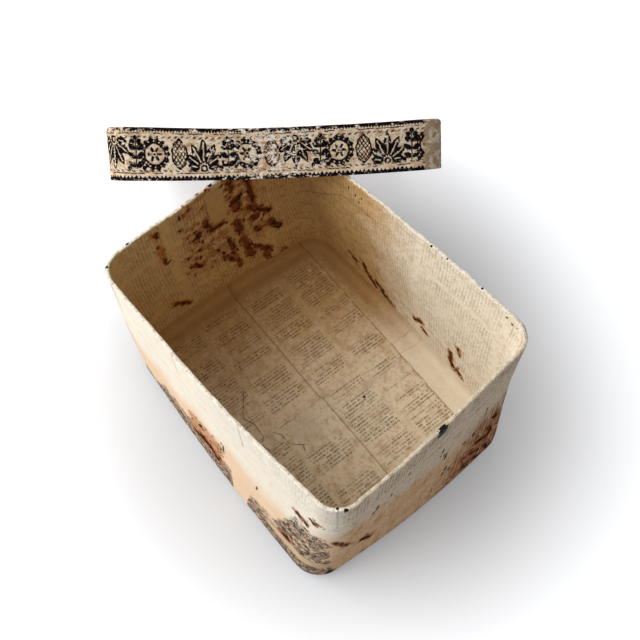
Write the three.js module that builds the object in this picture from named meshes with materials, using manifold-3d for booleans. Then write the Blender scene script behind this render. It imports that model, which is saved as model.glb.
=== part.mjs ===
// A storage basket with a lift-off lid: a tray plaited from thin splints, with a bent hoop at
// its rim, pasted over inside and out with sheets of paper. The lid is made the same way.
// Millimetres, Z up. The origin is the centre of the underside, and X runs along the rim's
// long side. The lid stands off the basket: its lower long side is on the ground and its
// upper one lies on the rim, across the back left corner.

import * as THREE from 'three';
import { mergeVertices } from 'three/addons/utils/BufferGeometryUtils.js';
import Module from 'manifold-3d';

const wasm = await Module();
wasm.setup();

// Rim, seen from above: a rectangle with round corners whose long and short sides bow out a
// little, and the straight shoulder below it, which the closed lid covers
const rimLength = 380;
const rimWidth = 286;
const rimCornerRadius = 31;
const rimBowLong = 3.5;
const rimBowShort = 2;
const basketHeight = 227;
const shoulderHeight = 62;

// Base: a little wider than the rim, and turned and shifted against it, as such a basket is
// once the splints have given way
const baseLength = 381;
const baseWidth = 304;
const baseCornerRadius = 36;
const baseBowLong = 4;
const baseBowShort = 6;
const bottomRadius = 12;
const baseTwistDegrees = -4.5;
const rimShiftX = -7;
const rimShiftY = 2.4;

// Layers of the wall, from outside to inside: sheet, splints, sheet; at an edge a hoop
// stands between the splints and the inner sheet
const sheetThickness = 0.5;
const splintThickness = 1.4;
const hoopThickness = 0.8;
const hoopHeight = 9;
const layerGap = 0.3;
const foldRadius = 1.2;
const hoopRamp = 3;

// Sheets of the basket
const floorTurnUp = 14;
const floorSeamX = 10;
const floorSeamY = 2;
const underLap = 8;
const coverSeamShare = 0.38;
const pagesPerSide = [3, 2, 3, 2];

// Lid
const lidClearance = 0.6;
const lidDepth = 57;
const lidEdgeRadius = 5;
const lidSag = 4.5;
const lidTopLap = 9;
const lidLiningTurnDown = 8;

// Where the lid leans: the way from the basket's middle to the lid, how far the rim's corner
// reaches in under it, and how far it is pushed along its own length
const lidBearingDegrees = 139.8;
const lidOverlap = 61;
const lidShift = 34;

// Steps of the outline and of the round edges
const stepsPerSide = 6;
const stepsPerCorner = 4;
const stepsPerBend = 3;
const stepsPerFold = 2;
const overrun = 5;

// Layer offsets, counted inwards from the outer face
const sheetBack = sheetThickness;
const splintFace = sheetBack + layerGap;
const splintBack = splintFace + splintThickness;
const liningBack = splintBack + layerGap;
const wallThickness = liningBack + sheetThickness;
const hoopFace = splintBack + layerGap;
const hoopBack = hoopFace + hoopThickness;
const edgeLiningBack = hoopBack + layerGap;
const edgeThickness = edgeLiningBack + sheetThickness;

// Heights of the basket
const shoulderZ = basketHeight - shoulderHeight;
const floorPageTop = bottomRadius + floorTurnUp;
const coverSeamZ = bottomRadius + (shoulderZ - bottomRadius) * coverSeamShare;
const levels = [
  bottomRadius,
  ...steps(bottomRadius, floorPageTop, 1),
  ...steps(floorPageTop, coverSeamZ, 2),
  ...steps(coverSeamZ, shoulderZ, 4),
];

// The lid is the rim's outline, grown by its own edge and by the clearance
const lidGrowth = lidClearance + edgeThickness;
const lidLength = rimLength + 2 * lidGrowth;
const lidWidth = rimWidth + 2 * lidGrowth;
const lidSection = {
  length: lidLength,
  width: lidWidth,
  radius: rimCornerRadius + lidGrowth,
  bowLong: rimBowLong,
  bowShort: rimBowShort,
};

const sidesCount = 4;
const rounds = 2 * sidesCount;
const baseTwist = THREE.MathUtils.degToRad(baseTwistDegrees);
const half = 1 / 2;

// Heights after low, up to high, in equal steps
function steps(low, high, count) {
  return Array.from({ length: count }, (_, i) => low + ((high - low) * (i + 1)) / count);
}

// One point of an outline. A whole number and a half of the station count one side and one
// corner each: 0 to 1 is the front side from left to right, 1 to 2 the front right corner,
// and so on round. The offset moves the outline outwards.
function outlinePoint(station, section, offset) {
  const turned = ((station % rounds) + rounds) % rounds;
  const side = Math.floor(turned / 2);
  const along = turned - 2 * side;
  const reachX = section.length / 2 + offset;
  const reachY = section.width / 2 + offset;
  const radius = section.radius + offset;
  const across = side % 2 === 0 ? reachX : reachY;
  const out = side % 2 === 0 ? reachY : reachX;
  const bow = side % 2 === 0 ? section.bowLong : section.bowShort;
  const point = new THREE.Vector2();
  if (along <= 1) {
    point.set((across - radius) * (2 * along - 1), -out - bow * Math.sin(Math.PI * along));
  } else {
    const angle = ((along - 1) * Math.PI) / 2;
    point.set(across - radius + radius * Math.sin(angle), -out + radius - radius * Math.cos(angle));
  }
  return point.rotateAround(new THREE.Vector2(), (side * Math.PI) / 2);
}

// The basket's form: straight at the shoulder, then easing into the base's size and turn
function placeOnBasket(station, offset, z, share = 1) {
  const drop = THREE.MathUtils.clamp((shoulderZ - z) / shoulderZ, 0, 1);
  const eased = THREE.MathUtils.smoothstep(drop, 0, 1);
  const section = {
    length: THREE.MathUtils.lerp(rimLength, baseLength, eased),
    width: THREE.MathUtils.lerp(rimWidth, baseWidth, eased),
    radius: THREE.MathUtils.lerp(rimCornerRadius, baseCornerRadius, eased),
    bowLong: THREE.MathUtils.lerp(rimBowLong, baseBowLong, eased),
    bowShort: THREE.MathUtils.lerp(rimBowShort, baseBowShort, eased),
  };
  const point = outlinePoint(station, section, offset).multiplyScalar(share);
  point.rotateAround(new THREE.Vector2(), baseTwist * eased);
  return new THREE.Vector3(point.x + rimShiftX * (1 - eased), point.y + rimShiftY * (1 - eased), z);
}

// How far the lid's middle has sunk at a place along its length
function lidSagAt(x) {
  return lidSag * (1 - (2 * x / lidLength) ** 2);
}

// The lid's form, open edge at 0 and top at its depth
function placeOnLid(station, offset, z, share = 1) {
  const point = outlinePoint(station, lidSection, offset).multiplyScalar(share);
  return new THREE.Vector3(point.x, point.y, z - lidSagAt(point.x));
}

// Points of a profile: offset from the outer face, height, and share of the way out
function at(offset, z, share = 1) {
  return { offset, z, share };
}

// A quarter bend about a centre, from one angle to the other
function bend(offset, z, radius, from, to, count = stepsPerBend) {
  return Array.from({ length: count + 1 }, (_, i) => {
    const angle = from + ((to - from) * i) / count;
    return at(offset + radius * Math.cos(angle), z + radius * Math.sin(angle));
  });
}

// A straight rise at one offset, with a point at each level on the way
function climb(offset, low, high) {
  const between = levels.filter((z) => z > low + layerGap && z < high - layerGap);
  return [low, ...between, high].map((z) => at(offset, z));
}

// Stations from one place to another, with every shared step between them
function stationsBetween(from, to) {
  const found = [];
  for (let round = 0; round < 2 * sidesCount; round += 1) {
    const base = 2 * round;
    for (let i = 0; i < stepsPerSide; i += 1) {
      found.push(base + i / stepsPerSide);
    }
    for (let i = 0; i < stepsPerCorner; i += 1) {
      found.push(base + 1 + i / stepsPerCorner);
    }
  }
  const near = layerGap / rimLength;
  return [from, ...found.filter((station) => station > from + near && station < to - near), to];
}

function geometryOf(points, faces) {
  const geometry = new THREE.BufferGeometry();
  geometry.setAttribute('position', new THREE.Float32BufferAttribute(points.flatMap((p) => p.toArray()), 3));
  geometry.setIndex(faces);
  geometry.computeVertexNormals();
  return geometry;
}

// Faces between one side of the profile at a station and the same side at the next one. All
// sheets split them along the diagonal that rises with the stations, so they stay nested.
function band(faces, profile, i, first, second) {
  const next = (i + 1) % profile.length;
  const rises = profile[next].z >= profile[i].z;
  const [a, b] = [first + i, first + next];
  const [c, d] = [second + i, second + next];
  if (rises) {
    faces.push(a, c, d, a, d, b);
  } else {
    faces.push(a, c, b, b, c, d);
  }
}

// A body that closes on itself round the outline, from a closed profile
function ring(place, profile) {
  const stations = stationsBetween(0, rounds).slice(0, -1);
  const points = stations.flatMap((s) => profile.map((p) => place(s, p.offset, p.z, p.share)));
  const size = profile.length;
  const faces = [];
  for (let k = 0; k < stations.length; k += 1) {
    for (let i = 0; i < size; i += 1) {
      band(faces, profile, i, k * size, ((k + 1) % stations.length) * size);
    }
  }
  return geometryOf(points, faces);
}

// A tray or a disc: the profile's first line is closed by a face that looks down, and its
// last line by one that looks up
function dish(place, profile) {
  const stations = stationsBetween(0, rounds).slice(0, -1);
  const points = stations.flatMap((s) => profile.map((p) => place(s, p.offset, p.z, p.share)));
  const size = profile.length;
  const count = stations.length;
  const faces = [];
  for (let k = 0; k < count; k += 1) {
    const next = (k + 1) % count;
    for (let i = 0; i < size - 1; i += 1) {
      band(faces, profile, i, k * size, next * size);
    }
    faces.push(points.length, next * size, k * size);
    faces.push(points.length + 1, k * size + size - 1, next * size + size - 1);
  }
  points.push(place(0, 0, profile[0].z, 0), place(0, 0, profile[size - 1].z, 0));
  return geometryOf(points, faces);
}

// A length of sheet along the outline. The profile is the sheet's face and then its back,
// the other way round and with as many points, so each end closes between pairs of points.
function strip(place, profile, from, to) {
  const flat = profile.map((p) => new THREE.Vector2(p.offset, p.z));
  const inOrder = THREE.ShapeUtils.isClockWise(flat) ? [...profile].reverse() : profile;
  const stations = stationsBetween(from, to);
  const points = stations.flatMap((s) => inOrder.map((p) => place(s, p.offset, p.z, p.share)));
  const size = inOrder.length;
  const faces = [];
  for (let k = 0; k < stations.length - 1; k += 1) {
    for (let i = 0; i < size; i += 1) {
      band(faces, inOrder, i, k * size, (k + 1) * size);
    }
  }
  const last = (stations.length - 1) * size;
  for (let i = 0; i < size / 2 - 1; i += 1) {
    const [a, b, c, d] = [i, i + 1, size - 2 - i, size - 1 - i];
    faces.push(a, b, c, a, c, d);
    faces.push(last + a, last + c, last + b, last + a, last + d, last + c);
  }
  return geometryOf(points, faces);
}

// The seam between two sheets, as a step of the station at a side or at a corner
function seamStep(station) {
  const onSide = station % 2 < 1;
  const shortestSide = Math.min(rimWidth, baseWidth) - 2 * Math.max(rimCornerRadius, baseCornerRadius);
  const shortestBend = ((Math.min(rimCornerRadius, baseCornerRadius) - bottomRadius) * Math.PI) / 2;
  return (layerGap * half) / (onSide ? shortestSide : shortestBend);
}

function sheet(place, profile, from, to) {
  return strip(place, profile, from + seamStep(from), to - seamStep(to));
}

// The folded edge of a sheet, which laps the splints and the hoop: its face and its back,
// each from the outside to the inside. The second number is the distance from the edge.
function foldedFace() {
  const ramp = splintFace + hoopHeight + layerGap;
  return [
    ...bend(-foldRadius, -foldRadius, foldRadius, 0, Math.PI / 2, stepsPerFold),
    ...bend(foldRadius - edgeThickness, -foldRadius, foldRadius, Math.PI / 2, Math.PI, stepsPerFold),
    at(-edgeThickness, -ramp),
    at(-wallThickness, -ramp - hoopRamp),
  ];
}

function foldedBack() {
  const ramp = splintFace + hoopHeight + layerGap;
  const radius = foldRadius - sheetThickness;
  return [
    ...bend(-foldRadius, -foldRadius, radius, 0, Math.PI / 2, stepsPerFold),
    ...bend(foldRadius - edgeThickness, -foldRadius, radius, Math.PI / 2, Math.PI, stepsPerFold),
    at(-edgeLiningBack, -ramp),
    at(-liningBack, -ramp - hoopRamp),
  ];
}

const rampEnd = splintFace + hoopHeight + layerGap + hoopRamp;

// Profiles of the basket

function coreProfile() {
  const top = basketHeight - splintFace;
  const outer = climb(-splintFace, bottomRadius, top);
  const inner = climb(-splintBack, bottomRadius, top).reverse();
  return [
    ...bend(-bottomRadius, bottomRadius, bottomRadius - splintFace, -Math.PI / 2, 0).slice(0, -1),
    ...outer,
    ...inner,
    ...bend(-bottomRadius, bottomRadius, bottomRadius - splintBack, 0, -Math.PI / 2).slice(1),
  ];
}

function hoopProfile() {
  const top = basketHeight - splintFace;
  return [
    at(-hoopFace, top - hoopHeight),
    at(-hoopFace, top),
    at(-hoopBack, top),
    at(-hoopBack, top - hoopHeight),
  ];
}

// A page starts above the floor page, climbs the inside, folds over the rim and ends where
// the shoulder does
function wallPageProfile() {
  const raise = ({ offset, z }) => at(offset, basketHeight + z);
  const bottom = floorPageTop + layerGap * half;
  const end = shoulderZ + layerGap * half;
  return [
    at(0, end),
    ...foldedFace().map(raise),
    ...climb(-wallThickness, bottom, basketHeight - rampEnd).slice(0, -1).reverse(),
    ...climb(-liningBack, bottom, basketHeight - rampEnd).slice(0, -1),
    ...foldedBack().map(raise).reverse(),
    at(-sheetBack, end),
  ];
}

function floorProfile() {
  const top = floorPageTop - layerGap * half;
  return [
    ...bend(-bottomRadius, bottomRadius, bottomRadius - liningBack, -Math.PI / 2, 0),
    at(-liningBack, top),
    at(-wallThickness, top),
    ...bend(-bottomRadius, bottomRadius, bottomRadius - wallThickness, 0, -Math.PI / 2),
  ];
}

function upperCoverProfile() {
  const low = coverSeamZ + layerGap * half;
  const high = shoulderZ - layerGap * half;
  return [...climb(0, low, high), ...climb(-sheetBack, low, high).reverse()];
}

function lowerCoverProfile() {
  const high = coverSeamZ - layerGap * half;
  return [
    at(-bottomRadius - underLap, 0),
    ...bend(-bottomRadius, bottomRadius, bottomRadius, -Math.PI / 2, 0).slice(0, -1),
    ...climb(0, bottomRadius, high),
    ...climb(-sheetBack, bottomRadius, high).reverse(),
    ...bend(-bottomRadius, bottomRadius, bottomRadius - sheetBack, 0, -Math.PI / 2).slice(1),
    at(-bottomRadius - underLap, sheetBack),
  ];
}

function baseSheetProfile() {
  const edge = -bottomRadius - underLap - layerGap;
  return [at(edge, 0), at(edge, sheetThickness)];
}

// Profiles of the lid, from the open edge at 0 up to the top

function lidCoreProfile() {
  const outerBend = bend(-lidEdgeRadius, lidDepth - lidEdgeRadius, lidEdgeRadius - splintFace, 0, Math.PI / 2);
  const innerBend = bend(-lidEdgeRadius, lidDepth - lidEdgeRadius, lidEdgeRadius - splintBack, Math.PI / 2, 0);
  return [
    at(-lidEdgeRadius, lidDepth - splintBack, half),
    ...innerBend,
    at(-splintBack, splintFace),
    at(-splintFace, splintFace),
    ...outerBend,
    at(-lidEdgeRadius - lidTopLap, lidDepth - splintFace),
    at(-lidEdgeRadius, lidDepth - splintFace, half),
  ];
}

function lidHoopProfile() {
  return [
    at(-hoopFace, splintFace),
    at(-hoopFace, splintFace + hoopHeight),
    at(-hoopBack, splintFace + hoopHeight),
    at(-hoopBack, splintFace),
  ];
}

// The band laps the open edge, covers the skirt and ends on the top
function lidBandProfile() {
  const mirror = ({ offset, z }) => at(offset, -z);
  const centre = lidDepth - lidEdgeRadius;
  const tail = rampEnd + layerGap;
  return [
    at(-lidEdgeRadius - lidTopLap + layerGap, lidDepth),
    ...bend(-lidEdgeRadius, centre, lidEdgeRadius, Math.PI / 2, 0),
    ...foldedFace().map(mirror),
    at(-wallThickness, tail),
    at(-liningBack, tail),
    ...foldedBack().map(mirror).reverse(),
    ...bend(-lidEdgeRadius, centre, lidEdgeRadius - sheetBack, 0, Math.PI / 2),
    at(-lidEdgeRadius - lidTopLap + layerGap, lidDepth - sheetBack),
  ];
}

function lidTopProfile() {
  const edge = -lidEdgeRadius - lidTopLap;
  return [
    at(-lidEdgeRadius, lidDepth - sheetBack, half),
    at(edge, lidDepth - sheetBack),
    at(edge, lidDepth),
    at(-lidEdgeRadius, lidDepth, half),
  ];
}

function lidLiningProfile() {
  const centre = lidDepth - lidEdgeRadius;
  const end = centre - lidLiningTurnDown + layerGap * half;
  return [
    at(-lidEdgeRadius, lidDepth - wallThickness, half),
    ...bend(-lidEdgeRadius, centre, lidEdgeRadius - wallThickness, Math.PI / 2, 0),
    at(-wallThickness, end),
    at(-liningBack, end),
    ...bend(-lidEdgeRadius, centre, lidEdgeRadius - liningBack, 0, Math.PI / 2),
    at(-lidEdgeRadius, lidDepth - liningBack, half),
  ];
}

function lidWallPageProfile() {
  const low = rampEnd + 2 * layerGap;
  const high = lidDepth - lidEdgeRadius - lidLiningTurnDown - layerGap * half;
  return [
    at(-wallThickness, low),
    at(-wallThickness, high),
    at(-liningBack, high),
    at(-liningBack, low),
  ];
}

// Cutting a sheet along its seams

function solidOf(geometry) {
  const bare = geometry.clone();
  bare.deleteAttribute('normal');
  bare.deleteAttribute('uv');
  const merged = mergeVertices(bare);
  return new wasm.Manifold(new wasm.Mesh({
    numProp: 3,
    vertProperties: new Float32Array(merged.attributes.position.array),
    triVerts: new Uint32Array(merged.index.array),
  }));
}

function geometryOfSolid(solid) {
  const mesh = solid.getMesh();
  const geometry = new THREE.BufferGeometry();
  geometry.setAttribute('position', new THREE.BufferAttribute(new Float32Array(mesh.vertProperties), 3));
  geometry.setIndex(new THREE.BufferAttribute(new Uint32Array(mesh.triVerts), 1));
  geometry.computeVertexNormals();
  return geometry;
}

// The part of a sheet that lies in one quarter or half, given as a box between two corners
function pieceWithin(solid, low, high, turn = 0) {
  const size = new THREE.Vector3().subVectors(high, low);
  const box = new THREE.BoxGeometry(size.x, size.y, size.z);
  box.translate((low.x + high.x) / 2, (low.y + high.y) / 2, (low.z + high.z) / 2);
  box.rotateZ(turn);
  return geometryOfSolid(solid.intersect(solidOf(box)));
}

// Materials

const finish = (color, roughness) => new THREE.MeshStandardMaterial({ color, roughness, metalness: 0 });
const splintWood = finish(0x8a5636, 0.8);
const hoopWood = finish(0x7a4a2c, 0.75);
const pagePaper = finish(0xcdb994, 0.9);
const printPaper = finish(0xb89f79, 0.85);
const plainPaper = finish(0xc7ad85, 0.85);

function piece(group, name, geometry, material) {
  const mesh = new THREE.Mesh(geometry, material);
  mesh.name = name;
  group.add(mesh);
}

// The basket

const basket = new THREE.Group();
piece(basket, 'splint_core', dish(placeOnBasket, coreProfile()), splintWood);
piece(basket, 'rim_hoop', ring(placeOnBasket, hoopProfile()), hoopWood);

const floorSheet = solidOf(dish(placeOnBasket, floorProfile()));
const farX = baseLength / 2 + baseBowShort + overrun;
const farY = baseWidth / 2 + baseBowLong + overrun;
const floorTop = floorPageTop + overrun;
let floorPages = 0;
for (const [lowX, highX] of [[-farX, floorSeamX - layerGap * half], [floorSeamX + layerGap * half, farX]]) {
  for (const [lowY, highY] of [[-farY, floorSeamY - layerGap * half], [floorSeamY + layerGap * half, farY]]) {
    const low = new THREE.Vector3(lowX, lowY, -overrun);
    const high = new THREE.Vector3(highX, highY, floorTop);
    floorPages += 1;
    piece(basket, `floor_page_${floorPages}`, pieceWithin(floorSheet, low, high, baseTwist), pagePaper);
  }
}

// Wall pages start and end at the middle of each corner, and share each side equally
let wallPages = 0;
pagesPerSide.forEach((count, side) => {
  const start = 2 * side - half;
  const seams = [start];
  for (let i = 1; i < count; i += 1) {
    seams.push(2 * side + i / count);
  }
  seams.push(start + 2);
  for (let i = 0; i < count; i += 1) {
    wallPages += 1;
    const from = seams[i] + rounds;
    const to = seams[i + 1] + rounds;
    piece(basket, `wall_page_${wallPages}`, sheet(placeOnBasket, wallPageProfile(), from, to), pagePaper);
  }
});

// Two courses of cover sheets, one sheet to a side, the front one drawn round the right corner
const coverStations = [
  ['front', -half, 2],
  ['right', 2, 4 - half],
  ['back', 4 - half, 6 - half],
  ['left', 6 - half, rounds - half],
];
for (const [name, from, to] of coverStations) {
  const upper = sheet(placeOnBasket, upperCoverProfile(), from + rounds, to + rounds);
  const lower = sheet(placeOnBasket, lowerCoverProfile(), from + rounds, to + rounds);
  piece(basket, `cover_upper_${name}`, upper, printPaper);
  piece(basket, `cover_lower_${name}`, lower, printPaper);
}
piece(basket, 'base_sheet', dish(placeOnBasket, baseSheetProfile()), plainPaper);

// The lid, in its own frame: the open edge looks down and X runs along it

const lid = new THREE.Group();
piece(lid, 'lid_core', dish(placeOnLid, lidCoreProfile()), splintWood);
piece(lid, 'lid_hoop', ring(placeOnLid, lidHoopProfile()), hoopWood);
piece(lid, 'lid_top_sheet', dish(placeOnLid, lidTopProfile()), printPaper);

const lidStations = [
  ['lower', -half, 2 - half],
  ['right', 2 - half, 4 - half],
  ['upper', 4 - half, 6 - half],
  ['left', 6 - half, rounds - half],
];
for (const [name, from, to] of lidStations) {
  const cover = sheet(placeOnLid, lidBandProfile(), from + rounds, to + rounds);
  const lining = sheet(placeOnLid, lidWallPageProfile(), from + rounds, to + rounds);
  piece(lid, `lid_band_${name}`, cover, printPaper);
  piece(lid, `lid_wall_page_${name}`, lining, pagePaper);
}

const lidLining = solidOf(dish(placeOnLid, lidLiningProfile()));
const lidFarX = lidLength / 2 + rimBowShort + overrun;
const lidFarY = lidWidth / 2 + rimBowLong + overrun;
const lidHalves = [['left', -lidFarX, -layerGap * half], ['right', layerGap * half, lidFarX]];
for (const [name, lowX, highX] of lidHalves) {
  const low = new THREE.Vector3(lowX, -lidFarY, -overrun);
  const high = new THREE.Vector3(highX, lidFarY, lidDepth + overrun);
  piece(lid, `lid_top_page_${name}`, pieceWithin(lidLining, low, high), pagePaper);
}

// Leaning the lid. Its upper edge lies on the rim where it crosses the left and the back
// side. Bowed and sunk as it is, it leans so that it clears the rim at both crossings, while
// the middle of its lower edge stands on the ground.
const bearing = THREE.MathUtils.degToRad(lidBearingDegrees);
const away = new THREE.Vector2(Math.cos(bearing), Math.sin(bearing));
const alongLid = new THREE.Vector2(-away.y, away.x);
const cornerReach = (rimLength / 2 - rimCornerRadius) * Math.abs(away.x)
  + (rimWidth / 2 - rimCornerRadius) * Math.abs(away.y) + rimCornerRadius;
const edgeDistance = cornerReach - lidOverlap;
const crossings = [
  new THREE.Vector2(-rimLength / 2, (edgeDistance + (rimLength / 2) * away.x) / away.y),
  new THREE.Vector2((edgeDistance - (rimWidth / 2) * away.y) / away.x, rimWidth / 2),
];
const rests = crossings.map((crossing) => {
  const x = crossing.dot(alongLid) - lidShift;
  const bow = rimBowLong * Math.cos((Math.PI * x) / (lidLength - 2 * lidSection.radius));
  const innerY = lidWidth / 2 + bow - edgeThickness;
  const span = lidWidth / 2 + rimBowLong + innerY;
  const sagLeft = lidSag - lidSagAt(x);
  const reach = Math.hypot(span, sagLeft);
  const lean = Math.asin((basketHeight + layerGap) / reach) - Math.atan2(sagLeft, span);
  return { x, innerY, lean };
});
const steepest = rests[0].lean > rests[1].lean ? rests[0] : rests[1];
const { lean } = steepest;

const lidDistance = edgeDistance + (steepest.innerY + foldRadius) * Math.cos(lean)
  - (foldRadius - lidSagAt(steepest.x)) * Math.sin(lean);
const lidHeight = (lidWidth / 2 + rimBowLong - foldRadius) * Math.sin(lean)
  - (foldRadius - lidSag) * Math.cos(lean) + foldRadius;

const leaning = new THREE.Group();
leaning.rotation.x = lean;
leaning.add(lid);

const standing = new THREE.Group();
standing.rotation.z = bearing + Math.PI / 2;
standing.position.set(
  rimShiftX + away.x * lidDistance + alongLid.x * lidShift,
  rimShiftY + away.y * lidDistance + alongLid.y * lidShift,
  lidHeight,
);
standing.add(leaning);

const storageBasket = new THREE.Group();
storageBasket.add(basket, standing);

export default storageBasket;
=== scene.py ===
import functools
import math
from itertools import pairwise

import bpy
import numpy as np
from mathutils import Matrix, Vector


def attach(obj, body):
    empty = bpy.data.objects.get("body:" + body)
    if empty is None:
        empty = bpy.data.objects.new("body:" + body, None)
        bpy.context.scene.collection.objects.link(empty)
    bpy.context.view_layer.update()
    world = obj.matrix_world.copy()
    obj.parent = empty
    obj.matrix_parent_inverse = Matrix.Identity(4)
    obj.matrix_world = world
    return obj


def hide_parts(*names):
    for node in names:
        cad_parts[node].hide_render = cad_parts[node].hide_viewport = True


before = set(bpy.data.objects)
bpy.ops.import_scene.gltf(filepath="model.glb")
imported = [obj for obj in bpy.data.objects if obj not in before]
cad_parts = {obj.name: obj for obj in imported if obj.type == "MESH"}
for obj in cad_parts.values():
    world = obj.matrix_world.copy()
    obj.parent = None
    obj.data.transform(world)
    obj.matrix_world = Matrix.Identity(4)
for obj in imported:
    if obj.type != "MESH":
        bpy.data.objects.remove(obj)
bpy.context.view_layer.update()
MM = 0.001

# Form: the same sections, layers and lean as the frame

RIM = {"length": 380.0, "width": 286.0, "radius": 31.0, "bow_long": 3.5, "bow_short": 2.0}
BASE = {"length": 381.0, "width": 304.0, "radius": 36.0, "bow_long": 4.0, "bow_short": 6.0}
BASKET_HEIGHT = 227.0
SHOULDER_Z = BASKET_HEIGHT - 62.0
BOTTOM_RADIUS = 12.0
BASE_TWIST = math.radians(-4.5)
RIM_SHIFT = (-7.0, 2.4)
FRONT, RIGHT, BACK, LEFT = range(4)
ROUNDS = 8

# Layers, as offsets from the outer face
SHEET = 0.5
GAP = 0.3
SPLINT_FACE = 0.8
SPLINT_BACK = 2.2
LINING_BACK = 2.5
WALL = 3.0
HOOP_BACK = 3.3
HOOP_HEIGHT = 9.0
EDGE = 4.1
FOLD_RADIUS = 1.2
RAMP_START = SPLINT_FACE + HOOP_HEIGHT + GAP
RAMP_END = RAMP_START + 3.0

FLOOR_PAGE_TOP = BOTTOM_RADIUS + 14.0
FLOOR_SEAM = (10.0, 2.0)
UNDER_LAP = 8.0
SHEET_LAP = 3.0
COVER_SEAM_Z = BOTTOM_RADIUS + (SHOULDER_Z - BOTTOM_RADIUS) * 0.38
PAGES_PER_SIDE = (3, 2, 3, 2)

LID_GROWTH = 0.6 + EDGE
LID = {
    **RIM,
    "length": RIM["length"] + 2 * LID_GROWTH,
    "width": RIM["width"] + 2 * LID_GROWTH,
    "radius": RIM["radius"] + LID_GROWTH,
}
LID_DEPTH = 57.0
LID_EDGE_RADIUS = 5.0
LID_SAG = 4.5
LID_TOP_LAP = 9.0
LID_TURN_DOWN = 8.0
LID_BEARING = math.radians(139.8)
LID_OVERLAP = 61.0
LID_SHIFT = 34.0
LID_END_RISE = 3.5

# Mesh sizes
FINE, COARSE = 1.7, 2.6
LID_FRONT_SPACING = 1.4
FLOOR_SPACING = 2.4
FAN_SPACING = 3.5
HOOP_SPACING = 3.0

# Distances from a tear that are as good as none, while it is worked out and on the mesh
NO_TEAR = 60.0
UNHURT = 40.0


def lattice(ix, iy, iz, seed):
    mixed = np.sin(ix * 127.1 + iy * 311.7 + iz * 74.7 + seed * 19.19) * 43758.5453
    return mixed - np.floor(mixed)


def noise(x, y, z=0.0, seed=0):
    """Smooth value noise from -1 to 1."""
    x, y, z = np.broadcast_arrays(np.asarray(x, float), y, z)
    ix, iy, iz = np.floor(x), np.floor(y), np.floor(z)
    fx, fy, fz = (f * f * (3 - 2 * f) for f in (x - ix, y - iy, z - iz))
    total = 0
    for dx, wx in ((0, 1 - fx), (1, fx)):
        for dy, wy in ((0, 1 - fy), (1, fy)):
            for dz, wz in ((0, 1 - fz), (1, fz)):
                total = total + lattice(ix + dx, iy + dy, iz + dz, seed) * wx * wy * wz
    return 2 * total - 1


def smoothstep(low, high, value):
    share = np.clip((value - low) / (high - low), 0, 1)
    return share * share * (3 - 2 * share)


def rotated(x, y, angle):
    return x * np.cos(angle) - y * np.sin(angle), x * np.sin(angle) + y * np.cos(angle)


def outline(station, section, offset):
    """A rounded rectangle with bowed sides. Stations 0 to 1 are the front side, 1 to 2 its
    right corner, and so on round."""
    turned = np.mod(station, ROUNDS)
    side = np.floor(turned / 2)
    along = turned - 2 * side
    reach_x = section["length"] / 2 + offset
    reach_y = section["width"] / 2 + offset
    radius = section["radius"] + offset
    even = np.mod(side, 2) == 0
    across = np.where(even, reach_x, reach_y)
    out = np.where(even, reach_y, reach_x)
    bow = np.where(even, section["bow_long"], section["bow_short"])
    angle = np.maximum(along - 1, 0) * math.pi / 2
    corner_x = across - radius + radius * np.sin(angle)
    corner_y = -out + radius - radius * np.cos(angle)
    straight = along <= 1
    x = np.where(straight, (across - radius) * (2 * along - 1), corner_x)
    y = np.where(straight, -out - bow * np.sin(math.pi * along), corner_y)
    return rotated(x, y, side * math.pi / 2)


def basket_form(station, offset, z):
    drop = np.clip((SHOULDER_Z - z) / SHOULDER_Z, 0, 1)
    eased = drop * drop * (3 - 2 * drop)
    section = {key: RIM[key] + (BASE[key] - RIM[key]) * eased for key in RIM}
    x, y = rotated(*outline(station, section, offset), BASE_TWIST * eased)
    return np.stack([x + RIM_SHIFT[0] * (1 - eased), y + RIM_SHIFT[1] * (1 - eased), z + 0 * x], -1)


def wall_wave(place):
    """How far the walls have warped outwards, the same for all their layers."""
    x, y, z = np.moveaxis(place, -1, 0)
    broad = 1.3 * noise(x / 85, y / 85, z / 70, 3)
    close = 0.35 * noise(x / 24, y / 24, z / 22, 5)
    bent_rim = 0.5 * noise(x / 11, y / 11, 0, 6) * smoothstep(200, 225, z)
    return (broad + close) * smoothstep(2, 40, z) + bent_rim


def rim_rise(place):
    """How far the rim stands above or below its height: it is torn and worn uneven."""
    x, y, z = np.moveaxis(place, -1, 0)
    uneven = 1.5 * noise(x / 34, y / 34, 0, 7) + 0.7 * noise(x / 9, y / 9, 0, 8) - 0.9
    nicked = 0.9 * noise(x / 3.6, y / 3.6, 0, 9) * smoothstep(220, 227, z)
    return np.minimum(uneven + nicked, 0.4) * smoothstep(185, 226, z)


def place_on_basket(station, offset, z):
    station, offset, z = np.broadcast_arrays(np.asarray(station, float), offset, z)
    form = basket_form(station, 0 * offset, z)
    return basket_form(station, offset + wall_wave(form), z + rim_rise(form))


def lid_sag(x):
    return LID_SAG * (1 - (2 * x / LID["length"]) ** 2)


def lid_rest(crossing, along):
    """The lean of a lid that rests where its edge crosses the rim, and the place on the lid."""
    x = crossing @ along - LID_SHIFT
    bow = RIM["bow_long"] * math.cos(math.pi * x / (LID["length"] - 2 * LID["radius"]))
    inner_y = LID["width"] / 2 + bow - EDGE
    span = LID["width"] / 2 + RIM["bow_long"] + inner_y
    sag_left = LID_SAG - lid_sag(x)
    rise = math.asin((BASKET_HEIGHT + GAP) / math.hypot(span, sag_left))
    return rise - math.atan2(sag_left, span), x, inner_y


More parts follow.
